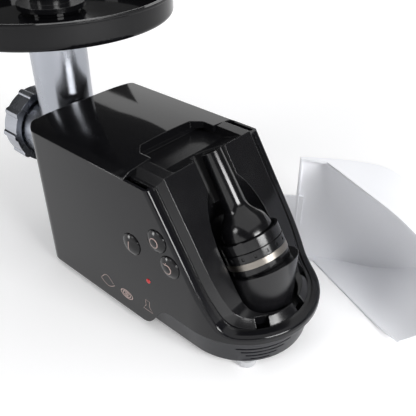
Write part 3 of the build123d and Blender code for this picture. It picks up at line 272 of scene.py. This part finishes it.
# Cast aluminium, tumbled and polished: bright with soft blotches.
ALUMINIUM = Finish(
    "polished cast aluminium", "a2a5ac", "cast_aluminium", 0.24, 0.08, Grain.CAST, 5.0, 0.02, 1.0,
)
# Ground stainless steel: bright, with fine lines that draw the light out.
STEEL = Finish(
    "ground stainless steel", "c4c5c8", "steel", 0.2, 0.05, Grain.BRUSHED, 0.7, 0.004, 1.0,
)
# Plate steel: rougher than the ground steel, so duller, with a darker and warmer colour; the darker
# colour is painted shade that keeps its reflection of the strip lamp dim.
DIMMED_PLATE_STEEL = Finish(
    "plate steel, painted dim", "948f88", "steel", 0.34, 0.06, Grain.TURNED, 0.7, 0.006, 1.0,
)
# Frosted polypropylene: milky and pale, with a soft sheen.
FROSTED = Finish(
    "frosted polypropylene", "f8f9fd", "frosted", 0.42, 0.05, Grain.SPARK, 1.2, 0.01, shade=0.02,
)
# Translucent silicone of the feet: pale, lets part of the light through.
SILICONE = Finish(
    "translucent silicone", "dcdde0", "clear_feet", 0.35, 0.05, Grain.MOULDED, 3.0, 0.004,
    clear=0.3,
)
# Black rubber of the cord bush: dull, with no mirror.
RUBBER = Finish("black rubber", "1b1b1c", "rubber_black", 0.6, 0.08, Grain.SPARK, 0.7, 0.02)
# Natural nylon of gears and bushes: creamy and waxy.
NYLON = Finish("natural nylon", "e4e1d4", "white_nylon", 0.4, 0.05, Grain.MOULDED, 4.0, 0.006)
# Varnished electrical steel of stator and armature: dark and streaky.
LAMINATION = Finish(
    "varnished lamination steel", "4a4a50", "lamination", 0.45, 0.08, Grain.BRUSHED, 0.6, 0.02, 1.0,
)
# Enamelled copper: warm, with the lines of the wire.
COPPER = Finish("enamelled copper", "b4642f", "copper", 0.3, 0.06, Grain.BRUSHED, 0.6, 0.03, 1.0)
# Pressed carbon of the brushes: matt and grainy.
CARBON = Finish("pressed carbon", "1d1d1f", "carbon", 0.7, 0.08, Grain.CAST, 0.8, 0.02)
# Lacquered board: green with a faint weave.
BOARD = Finish(
    "green board lacquer", "1f5a33", "board_green", 0.35, 0.05, Grain.MOULDED, 1.5, 0.01,
)
# Acrylic of the lamp's lens: red, glossy, faintly lit.
LENS = Finish(
    "red acrylic lens", "a80c14", "red_lens", 0.12, 0.02, Grain.MOULDED, 2.0, 0.002, glow=0.3,
)
# Pad printed ink of the signs: a warm silver.
INK = Finish("silver pad printing ink", "b09a94", "steel", 0.35, 0.05, Grain.SPARK, 0.5, 0.004)

FINISHES: dict[str, Finish] = {
    "base_pan": BASE_PP, "cord_inlet": RUBBER, "rubber_feet": SILICONE, "base_screws": STEEL,
    "main_housing": HOUSING_ABS, "top_cover": GLOSS_ABS, "storage_liner": SATIN_ABS,
    "storage_nest": SATIN_ABS, "front_collar": SATIN_ABS, "lock_button": SATIN_ABS,
    "spring_lock": STEEL, "head_casting": ALUMINIUM, "feed_tube": ALUMINIUM, "auger_bush": NYLON,
    "auger": ALUMINIUM, "knife": STEEL, "mincing_plate": STEEL, "ring_nut": ALUMINIUM,
    "hopper_tray": TRAY_ABS, "pusher": SATIN_ABS, "control_board": BOARD,
    "key_switches": SATIN_ABS, "button_start": BUTTON_ABS, "button_stop": BUTTON_ABS,
    "button_reverse": BUTTON_ABS, "spring_start": STEEL, "spring_stop": STEEL,
    "spring_reverse": STEEL, "lamp_lens": LENS, "gearbox_case": SATIN_ABS,
    "gearbox_cover": SATIN_ABS, "gearbox_screws": STEEL, "idler_shaft": STEEL,
    "motor_pinion": STEEL, "idler_gear": NYLON, "idler_pinion": STEEL, "output_gear": NYLON,
    "drive_shaft": STEEL, "motor_stator": LAMINATION, "field_coils": COPPER,
    "front_bearing": STEEL, "rear_bearing": STEEL, "motor_bracket": SATIN_ABS,
    "motor_shaft": STEEL, "armature_core": LAMINATION, "commutator": COPPER, "fan": NYLON,
    "carbon_brushes": CARBON, "brush_holders": COPPER, "sausage_nozzle": NOZZLE_NYLON,
    "nozzle_ring": NOZZLE_NYLON, "spacer_ring": NOZZLE_NYLON, "spare_plate_coarse": DIMMED_PLATE_STEEL,
    "spare_plate_fine": DIMMED_PLATE_STEEL, "kebbe_disc": NOZZLE_NYLON, "storage_cover": FROSTED,
}


class Wardrobe:
    """Makes each finish once and hands it out."""

    def __init__(self) -> None:
        """Start with no material made."""
        self.made: dict[str, bpy.types.Material] = {}

    def get(self, finish: Finish) -> bpy.types.Material:
        """Give the material of a finish, made on first use.

        Args:
            finish: The finish.

        Returns:
            Its material.
        """
        if finish.name not in self.made:
            self.made[finish.name] = finish.make()
        return self.made[finish.name]

    def dress_nodes(self) -> None:
        """Give every solid of the frame its finish."""
        for name, obj in frame["nodes"].items():
            obj.data.materials.clear()
            obj.data.materials.append(self.get(FINISHES[name]))
            LOG.info("dressed %s in %s", name, FINISHES[name].name)


class SpringMaker:
    """Winds the springs of buttons and lock with one Geometry Nodes tree.

    Attributes:
        TURN_STEPS: Steps in one turn of the wire.
        WIRE_SIDES: Sides of the wire's section.
    """

    TURN_STEPS = 28
    WIRE_SIDES = 8

    def __init__(self) -> None:
        """Build the tree with named inputs for its sizes."""
        self.tree = bpy.data.node_groups.new("wound spring", "GeometryNodeTree")
        sockets = self.tree.interface
        kinds = {name: "NodeSocketFloat" for name in ("Turns", "Radius", "Height", "Wire")}
        kinds["Finish"] = "NodeSocketMaterial"
        self.keys = {
            name: sockets.new_socket(name, in_out="INPUT", socket_type=kind).identifier
            for name, kind in kinds.items()
        }
        sockets.new_socket("Geometry", in_out="OUTPUT", socket_type="NodeSocketGeometry")
        given = add_node(self.tree, "NodeGroupInput", {}, {}).outputs
        spiral = add_node(
            self.tree, "GeometryNodeCurveSpiral", {"Resolution": self.TURN_STEPS},
            {"Rotations": given["Turns"], "Start Radius": given["Radius"],
             "End Radius": given["Radius"], "Height": given["Height"]},
        )
        circle = add_node(
            self.tree, "GeometryNodeCurvePrimitiveCircle", {"Resolution": self.WIRE_SIDES},
            {"Radius": given["Wire"]},
        )
        wire = add_node(
            self.tree, "GeometryNodeCurveToMesh", {"Fill Caps": True},
            {"Curve": spiral.outputs["Curve"], "Profile Curve": circle.outputs["Curve"]},
        )
        plain = add_node(
            self.tree, "GeometryNodeRealizeInstances", {}, {"Geometry": wire.outputs["Mesh"]},
        )
        dressed = add_node(
            self.tree, "GeometryNodeSetMaterial", {},
            {"Geometry": plain.outputs["Geometry"], "Material": given["Finish"]},
        )
        add_node(self.tree, "NodeGroupOutput", {}, {"Geometry": dressed.outputs["Geometry"]})

    def wind(
        self, name: str, sizes: dict[str, float], finish: bpy.types.Material, place: Matrix,
    ) -> bpy.types.Object:
        """Wind one spring and turn it into a plain mesh in its place.

        Args:
            name: The piece's name.
            sizes: The tree's sizes in metres, by input name.
            finish: The wire's material.
            place: Where the spring's foot is and which way it points.

        Returns:
            The spring's object.
        """
        holder = bpy.data.objects.new(name, bpy.data.meshes.new(name))
        bpy.context.scene.collection.objects.link(holder)
        modifier = holder.modifiers.new("wind", "NODES")
        modifier.node_group = self.tree
        for key, value in sizes.items():
            modifier[self.keys[key]] = value
        modifier[self.keys["Finish"]] = finish
        depsgraph = bpy.context.evaluated_depsgraph_get()
        mesh = bpy.data.meshes.new_from_object(holder.evaluated_get(depsgraph))
        holder.modifiers.clear()
        holder.data = mesh
        mesh.transform(place)
        mesh.polygons.foreach_set("use_smooth", [True] * len(mesh.polygons))
        return holder


@dataclass
class Springs:
    """The four wound springs behind buttons and lock.

    Attributes:
        turns: Number of turns of each.
        wire_mm: Radius of the wire.
    """

    turns: float = 6.0
    wire_mm: float = 0.35

    def build(self, wardrobe: Wardrobe) -> None:
        """Wind each spring where its sleeve stands and hang it on its joint's parent body.

        Args:
            wardrobe: Where the wire's material comes from.
        """
        maker = SpringMaker()
        wire = self.wire_mm * MM
        for joint in frame["joints"]:
            for item in joint.get("deforming_nodes") or []:
                low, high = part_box(item["node"])
                middle = (low + high) / 2
                axis = Vector(joint["axis"])
                along = abs((high - low).dot(axis))
                longest = max(high - low)
                across = longest if along < longest else sorted(high - low)[1]
                foot = middle - axis * (along / 2 - wire)
                turn = Vector((0, 0, 1)).rotation_difference(axis).to_matrix().to_4x4()
                sizes = {
                    "Turns": self.turns, "Radius": across / 2 - wire,
                    "Height": along - 2 * wire, "Wire": wire,
                }
                name = "wound_" + item["node"]
                place = Matrix.Translation(foot) @ turn
                spring = maker.wind(name, sizes, wardrobe.get(STEEL), place)
                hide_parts(item["node"])
                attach(spring, joint["parent"])
                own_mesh(spring)
                LOG.info("wound %s", name)


class Sign(Enum):
    """The plain signs on the buttons."""

    LINE = "start"
    RING = "stop"
    ARROW = "reverse"


@dataclass(frozen=True)
class Swell:
    """Half a wave on the panel, in millimetres.

    Attributes:
        start: Where it starts along X.
        end: Where it ends along X.
        level: Height of its ends.
        rise: How far its middle rises over them.
    """

    start: float
    end: float
    level: float
    rise: float

    def points(self, steps: int) -> list[tuple[float, float]]:
        """Give the wave's points.

        Args:
            steps: Number of steps between its ends.

        Returns:
            Flat points.
        """
        shares = [at / steps for at in range(steps + 1)]
        return [
            (self.start + (self.end - self.start) * share,
             self.level + self.rise * math.sin(math.pi * share))
            for share in shares
        ]


@dataclass
class Printing:
    """Silver signs printed on the button caps and the side panel, in millimetres.

    Attributes:
        dome_mm: Radius of the caps' dome.
        ink_mm: Height of the ink over and under the surface.
        width_mm: Width of a line on a cap.
        tip_mm: Width of the arrow's tip.
        thin_mm: Width of a thin line on the panel.
        bold_mm: Width of a bold line on the panel.
        sign_mm: Radius of the ring and arrow.
        line_mm: Half the length of the line, in whole steps of one.
        sweep: Angles between which the arrow turns.
        tip: Points of the arrow's tip.
        panel_mm: The panel's outer face along Y.
        bowl: Lower edge of the bowl.
        heap: Food heaped in the bowl.
        patty_at: Middle of the patty.
        patty_radii: Radii of the patty's rings.
        patty_stretch: How much longer the patty is than high.
        horn: Corners of the horn.
    """

    dome_mm: float = 20.65
    ink_mm: float = 0.05
    width_mm: float = 1.0
    tip_mm: float = 0.8
    thin_mm: float = 0.7
    bold_mm: float = 1.3
    sign_mm: float = 4.6
    line_mm: int = 5
    sweep: tuple[float, float] = (-130.0, 120.0)
    tip: tuple[tuple[float, float], ...] = ((-4.9, 3.9), (-2.3, 3.98), (-1.6, 6.2))
    panel_mm: float = -76.0
    bowl: Swell = Swell(-54.0, -32.0, 30.0, -6.0)
    heap: Swell = Swell(-52.0, -34.0, 31.0, 7.0)
    patty_at: tuple[float, float] = (-13.5, 30.0)
    patty_radii: tuple[float, ...] = (1.2, 3.2, 5.0)
    patty_stretch: float = 1.7
    horn: tuple[tuple[float, float], ...] = (
        (14.5, 41.0), (15.2, 34.0), (11.0, 28.0), (24.0, 28.0), (19.8, 34.0), (20.5, 41.0),
    )

    RING_STEPS = 40
    SWEEP_STEPS = 30
    PATTY_STEPS = 28
    SWELL_STEPS = 16
    # Sides of one link of ink, as pairs of corners: each row has its corners in the order
    # left under, left over, right under, right over.
    LINK_SIDES = ((0, 1), (1, 3), (3, 2), (2, 0))
    ROW_LOOP = (0, 1, 3, 2)

    def ribbon(self, points: list | tuple, width: float, closed: bool) -> list[tuple]:
        """Offset a line to both sides.

        Args:
            points: The line's middle, in millimetres.
            width: The ribbon's width.
            closed: Whether its ends meet.

        Returns:
            Pairs of left and right points.
        """
        pairs = []
        count = len(points)
        for at in range(count):
            before = points[(at - 1) % count if closed else max(at - 1, 0)]
            after = points[(at + 1) % count if closed else min(at + 1, count - 1)]
            run = Vector((after[0] - before[0], after[1] - before[1])).normalized()
            side = Vector((-run.y, run.x)) * width / 2
            middle = Vector(points[at])
            pairs.append((tuple(middle + side), tuple(middle - side)))
        return pairs

    def solid(
        self, name: str, ribbons: list[tuple[list, bool]],
        lift: Callable[[float, float, float], Vector],
    ) -> bpy.types.Object:
        """Make thin closed ribbons of ink on a surface.

        Args:
            name: The piece's name.
            ribbons: Lists of point pairs, and whether each closes on itself.
            lift: Function from two flat coordinates and a height to a point.

        Returns:
            The ink's object.
        """
        shape = bmesh.new()
        heights = (-self.ink_mm, self.ink_mm)
        for pairs, closed in ribbons:
            rows = [
                [shape.verts.new(lift(*flat, height)) for flat in pair for height in heights]
                for pair in pairs
            ]
            spans = list(zip(rows, rows[1:] + rows[:1] if closed else rows[1:]))
            for one, two in spans:
                for a, b in self.LINK_SIDES:
                    shape.faces.new((one[a], one[b], two[b], two[a]))
            if not closed:
                for row in (rows[0], rows[-1]):
                    shape.faces.new([row[corner] for corner in self.ROW_LOOP])
        bmesh.ops.recalc_face_normals(shape, faces=shape.faces)
        mesh = bpy.data.meshes.new(name)
        shape.to_mesh(mesh)
        shape.free()
        piece = bpy.data.objects.new(name, mesh)
        bpy.context.scene.collection.objects.link(piece)
        return piece

    def arc(
        self, radius: float, start: float, end: float, steps: int,
    ) -> list[tuple[float, float]]:
        """Give the points of a circular line.

        Args:
            radius: Its radius.
            start: Angle of its start in degrees.
            end: Angle of its end in degrees.
            steps: Number of steps between them.

        Returns:
            Flat points.
        """
        turns = [math.radians(start + (end - start) * at / steps) for at in range(steps + 1)]
        return [(radius * math.cos(turn), radius * math.sin(turn)) for turn in turns]

    def ring(self, radius: float, steps: int) -> list[tuple[float, float]]:
        """Give the points of a full circle, each once.

        Args:
            radius: Its radius.
            steps: Number of points.

        Returns:
            Flat points.
        """
        return self.arc(radius, 0, 360, steps)[:-1]

    def cap_lift(self, node: str) -> Callable[[float, float, float], Vector]:
        """Give the function that puts a flat sign on a cap's dome.

        Args:
            node: The cap's node.

        Returns:
            A function from flat coordinates and height to a point in metres.
        """
        low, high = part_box(node)
        centre_x, centre_z = (low.x + high.x) / 2, (low.z + high.z) / 2
        dome_y = low.y + self.dome_mm * MM

        def lift(u: float, v: float, height: float) -> Vector:
            """Put one point on the dome."""
            rise = math.sqrt(self.dome_mm**2 - u * u - v * v)
            out = Vector((u, -rise, v)) * ((self.dome_mm + height) / self.dome_mm)
            return Vector((centre_x, dome_y, centre_z)) + out * MM

        return lift

    def cap_sign(self, sign: Sign) -> list[tuple[list, bool]]:
        """Draw the lines of one sign.

        Args:
            sign: Which sign.

        Returns:
            Its ribbons.
        """
        if sign is Sign.LINE:
            line = [(0.0, float(at)) for at in range(-self.line_mm, self.line_mm + 1)]
            return [(self.ribbon(line, self.width_mm, False), False)]
        if sign is Sign.RING:
            circle = self.ring(self.sign_mm, self.RING_STEPS)
            return [(self.ribbon(circle, self.width_mm, True), True)]
        sweep = self.arc(self.sign_mm, *self.sweep, self.SWEEP_STEPS)
        return [
            (self.ribbon(sweep, self.width_mm, False), False),
            (self.ribbon(self.tip, self.tip_mm, False), False),
        ]

    def panel_signs(self) -> list[tuple[list, bool]]:
        """Draw the small plain food signs low on the panel.

        Returns:
            Their ribbons.
        """
        ribbons = [
            (self.ribbon(wave.points(self.SWELL_STEPS), self.thin_mm, False), False)
            for wave in (self.bowl, self.heap)
        ]
        middle_x, middle_z = self.patty_at
        for radius in self.patty_radii:
            patty = [
                (middle_x + self.patty_stretch * x, middle_z + z)
                for x, z in self.ring(radius, self.PATTY_STEPS)
            ]
            ribbons.append((self.ribbon(patty, self.bold_mm, True), True))
        ribbons.append((self.ribbon(self.horn, self.thin_mm, True), True))
        return ribbons

    def build(self, wardrobe: Wardrobe) -> None:
        """Print all signs and let each ride where it is printed.

        Args:
            wardrobe: Where the ink comes from.
        """
        ink = wardrobe.get(INK)
        for sign in Sign:
            lift = self.cap_lift(f"button_{sign.value}")
            piece = self.solid(f"sign_{sign.value}", self.cap_sign(sign), lift)
            piece.data.materials.append(ink)
            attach(piece, f"{sign.value}_cap")
        panel = self.solid(
            "panel_signs", self.panel_signs(),
            lambda u, v, h: Vector((u, self.panel_mm - h, v)) * MM,
        )
        panel.data.materials.append(ink)
        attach(panel, "body")
        LOG.info("printed the signs")


@dataclass(frozen=True)
class SoftBox:
    """One soft box of the studio.

    Attributes:
        name: The lamp's name.
        place: Its place in millimetres.
        aim: The point it faces, in millimetres.
        sides: Its width and height in metres.
        light: How bright its face is, where one is white.
    """

    name: str
    place: tuple[float, float, float]
    aim: tuple[float, float, float]
    sides: tuple[float, float]
    light: float

    def hang(self) -> None:
        """Hang the soft box in its place."""
        data = bpy.data.lights.new(self.name, "AREA")
        data.shape = "RECTANGLE"
        data.size, data.size_y = self.sides
        data.energy = self.light * math.pi * self.sides[0] * self.sides[1]
        lamp = bpy.data.objects.new(self.name, data)
        bpy.context.scene.collection.objects.link(lamp)
        lamp.location = Vector(self.place) * MM
        facing = Vector(self.aim) - Vector(self.place)
        lamp.rotation_euler = facing.to_track_quat("-Z", "Y").to_euler()


# The two walls are what the top cover mirrors, the strip gives the streak down the nozzle, the
# fill lights the cover and the nozzle's left, and the window gives the spots on the buttons.
SOFT_BOXES = (
    SoftBox("overhead", (0, 0, 2600), (0, 0, 0), (5.0, 5.0), 0.92),
    SoftBox("back wall", (-2200, 1500, 1120), (-2200, 0, 1120), (1.0, 0.33), 0.85),
    SoftBox("back wall low", (-1050, 1500, 842), (-1050, 0, 842), (1.3, 0.885), 0.85),
    SoftBox("strip", (1200, -95, 610), (60, 0, 110), (0.6, 0.36), 19.0),
    SoftBox("front fill", (-500, -1700, 900), (100, 60, 80), (0.5, 0.6), 7.5),
    SoftBox("left window", (-1050, -1250, 150), (30, -76, 110), (0.3, 0.3), 11.0),
)


@dataclass
class Studio:
    """The table, the lights and the camera of the picture.

    Attributes:
        lens_px: Focal length in pixels of the picture.
        eye_mm: Place of the camera.
        azimuth: Turn of the view in degrees.
        elevation: Height of the view in degrees.
        surround: Strength of the light from all round.
        card: Colour of the table's card.
        near_lift: How much whiter the card looks than the light on it, beside the object.
        far_lift: The same far from the object, where less light falls.
        near_mm: Distance from the middle up to which the near value holds.
        far_mm: Distance from which the far value holds.
        edge_lift: What the backdrop adds to the far value, since it faces the light least.
        edge_mm: Distances between which that is added.
        sides: Number of sides of the round table.
        radius_mm: Radius of the round table.
        wall_mm: Height of the backdrop round it, low so that bay and tray don't mirror it.
        front_mm: Its height on the button side, where nothing mirrors it.
        front_rise: How soon it rises to that height on the way round.
    """

    lens_px: float = 542.0
    eye_mm: tuple[float, float, float] = (310.5, -320.0, 414.0)
    azimuth: float = 41.4
    elevation: float = 35.0
    surround: float = 0.07
    card: str = "f4f4f5"
    near_lift: float = 0.2
    far_lift: float = 0.45
    near_mm: float = 350.0
    far_mm: float = 1000.0
    edge_lift: float = 0.47
    edge_mm: tuple[float, float] = (1300.0, 4500.0)
    sides: int = 64
    radius_mm: float = 5500.0
    wall_mm: float = 700.0
    front_mm: float = 1500.0
    front_rise: float = 2.0

    def camera(self) -> None:
        """Place the camera at the photograph's viewing angle."""
        data = bpy.data.cameras.new("camera")
        data.sensor_width = SENSOR_MM
        data.lens = self.lens_px / IMAGE_SIDE * data.sensor_width
        data.clip_start = NEAR_CLIP_M
        camera = bpy.data.objects.new("camera", data)
        bpy.context.scene.collection.objects.link(camera)
        az, el = math.radians(self.azimuth), math.radians(self.elevation)
        level = math.cos(el)
        forward = Vector((-math.sin(az) * level, math.cos(az) * level, -math.sin(el)))
        right = Vector((math.cos(az), math.sin(az), 0.0))
        up = right.cross(forward)
        turn = Matrix((right, up, -forward)).transposed()
        camera.matrix_world = Matrix.Translation(Vector(self.eye_mm) * MM) @ turn.to_4x4()
        bpy.context.scene.camera = camera

    def card_material(self) -> bpy.types.Material:
        """Make the white card: white to the eye, to mirrors and through clear pieces.

        Returns:
            The material, which keeps the object's shadow.
        """
        material = bpy.data.materials.new("white card")
        material.use_nodes = True
        tree = material.node_tree
        tree.nodes.clear()
        card = add_node(
            tree, "ShaderNodeBsdfDiffuse", {"Color": linear(self.card)}, {},
        ).outputs["BSDF"]
        path = add_node(tree, "ShaderNodeLightPath", {}, {}).outputs
        seen = add_node(
            tree, "ShaderNodeMath", {"operation": "MAXIMUM"},
            {0: path["Is Camera Ray"], 1: path["Is Glossy Ray"]},
        ).outputs["Value"]
        shown = add_node(
            tree, "ShaderNodeMath", {"operation": "MAXIMUM"},
            {0: seen, 1: path["Is Transmission Ray"]},
        ).outputs["Value"]
        place = add_node(tree, "ShaderNodeTexCoord", {}, {}).outputs["Object"]
        away = add_node(
            tree, "ShaderNodeVectorMath", {"operation": "LENGTH"}, {"Vector": place},
        ).outputs["Value"]
        white = add_node(
            tree, "ShaderNodeMapRange",
            {"From Min": self.near_mm * MM, "From Max": self.far_mm * MM,
             "To Min": self.near_lift, "To Max": self.far_lift},
            {"Value": away},
        ).outputs["Result"]
        edge = add_node(
            tree, "ShaderNodeMapRange",
            {"From Min": self.edge_mm[0] * MM, "From Max": self.edge_mm[1] * MM,
             "To Min": 0.0, "To Max": self.edge_lift},
            {"Value": away},
        ).outputs["Result"]
        whole = add_node(
            tree, "ShaderNodeMath", {"operation": "ADD"}, {0: white, 1: edge},
        ).outputs["Value"]
        lift = add_node(
            tree, "ShaderNodeMath", {"operation": "MULTIPLY"}, {0: shown, 1: whole},
        ).outputs["Value"]
        paper = add_node(tree, "ShaderNodeEmission", {}, {"Strength": lift}).outputs["Emission"]
        both = add_node(tree, "ShaderNodeAddShader", {}, {0: card, 1: paper}).outputs["Shader"]
        add_node(tree, "ShaderNodeOutputMaterial", {}, {"Surface": both})
        return material

    def table(self) -> None:
        """Lay a wide pale floor with a low backdrop round it."""
        mesh = bpy.data.meshes.new("table")
        count = self.sides
        radius = self.radius_mm * MM
        turns = [2 * math.pi * at / count for at in range(count)]
        rises = [min(max(-self.front_rise * math.sin(turn), 0.0), 1.0) for turn in turns]
        tops = [(self.wall_mm + (self.front_mm - self.wall_mm) * rise) * MM for rise in rises]
        rings = [
            (radius * math.cos(turn), radius * math.sin(turn), height)
            for heights in ([0.0] * count, tops) for turn, height in zip(turns, heights)
        ]
        nexts = [(at + 1) % count for at in range(count)]
        walls = [(at, after, after + count, at + count) for at, after in enumerate(nexts)]
        mesh.from_pydata(rings, [], [tuple(range(count))] + walls)
        floor = bpy.data.objects.new("table", mesh)
        bpy.context.scene.collection.objects.link(floor)
        mesh.materials.append(self.card_material())

    def world(self) -> None:
        """Light the object faintly from an even white surround."""
        world = bpy.data.worlds.new("surround")
        world.use_nodes = True
        bpy.context.scene.world = world
        tree = world.node_tree
        tree.nodes.clear()
        background = add_node(
            tree, "ShaderNodeBackground", {"Color": WHITE, "Strength": self.surround}, {},
        ).outputs["Background"]
        add_node(tree, "ShaderNodeOutputWorld", {}, {"Surface": background})

    def build(self) -> None:
        """Set up the whole studio."""
        self.camera()
        self.table()
        self.world()
        for box in SOFT_BOXES:
            box.hang()
        bpy.context.scene.view_settings.view_transform = "Standard"
        LOG.info("set up the studio")


def main() -> None:
    """Build the looks in order and report each piece."""
    logging.basicConfig(level=logging.INFO, format="%(name)s: %(message)s")
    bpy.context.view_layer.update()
    wardrobe = Wardrobe()
    wardrobe.dress_nodes()
    Springs().build(wardrobe)
    Printing().build(wardrobe)
    Studio().build()


if __name__ == "__main__":
    main()
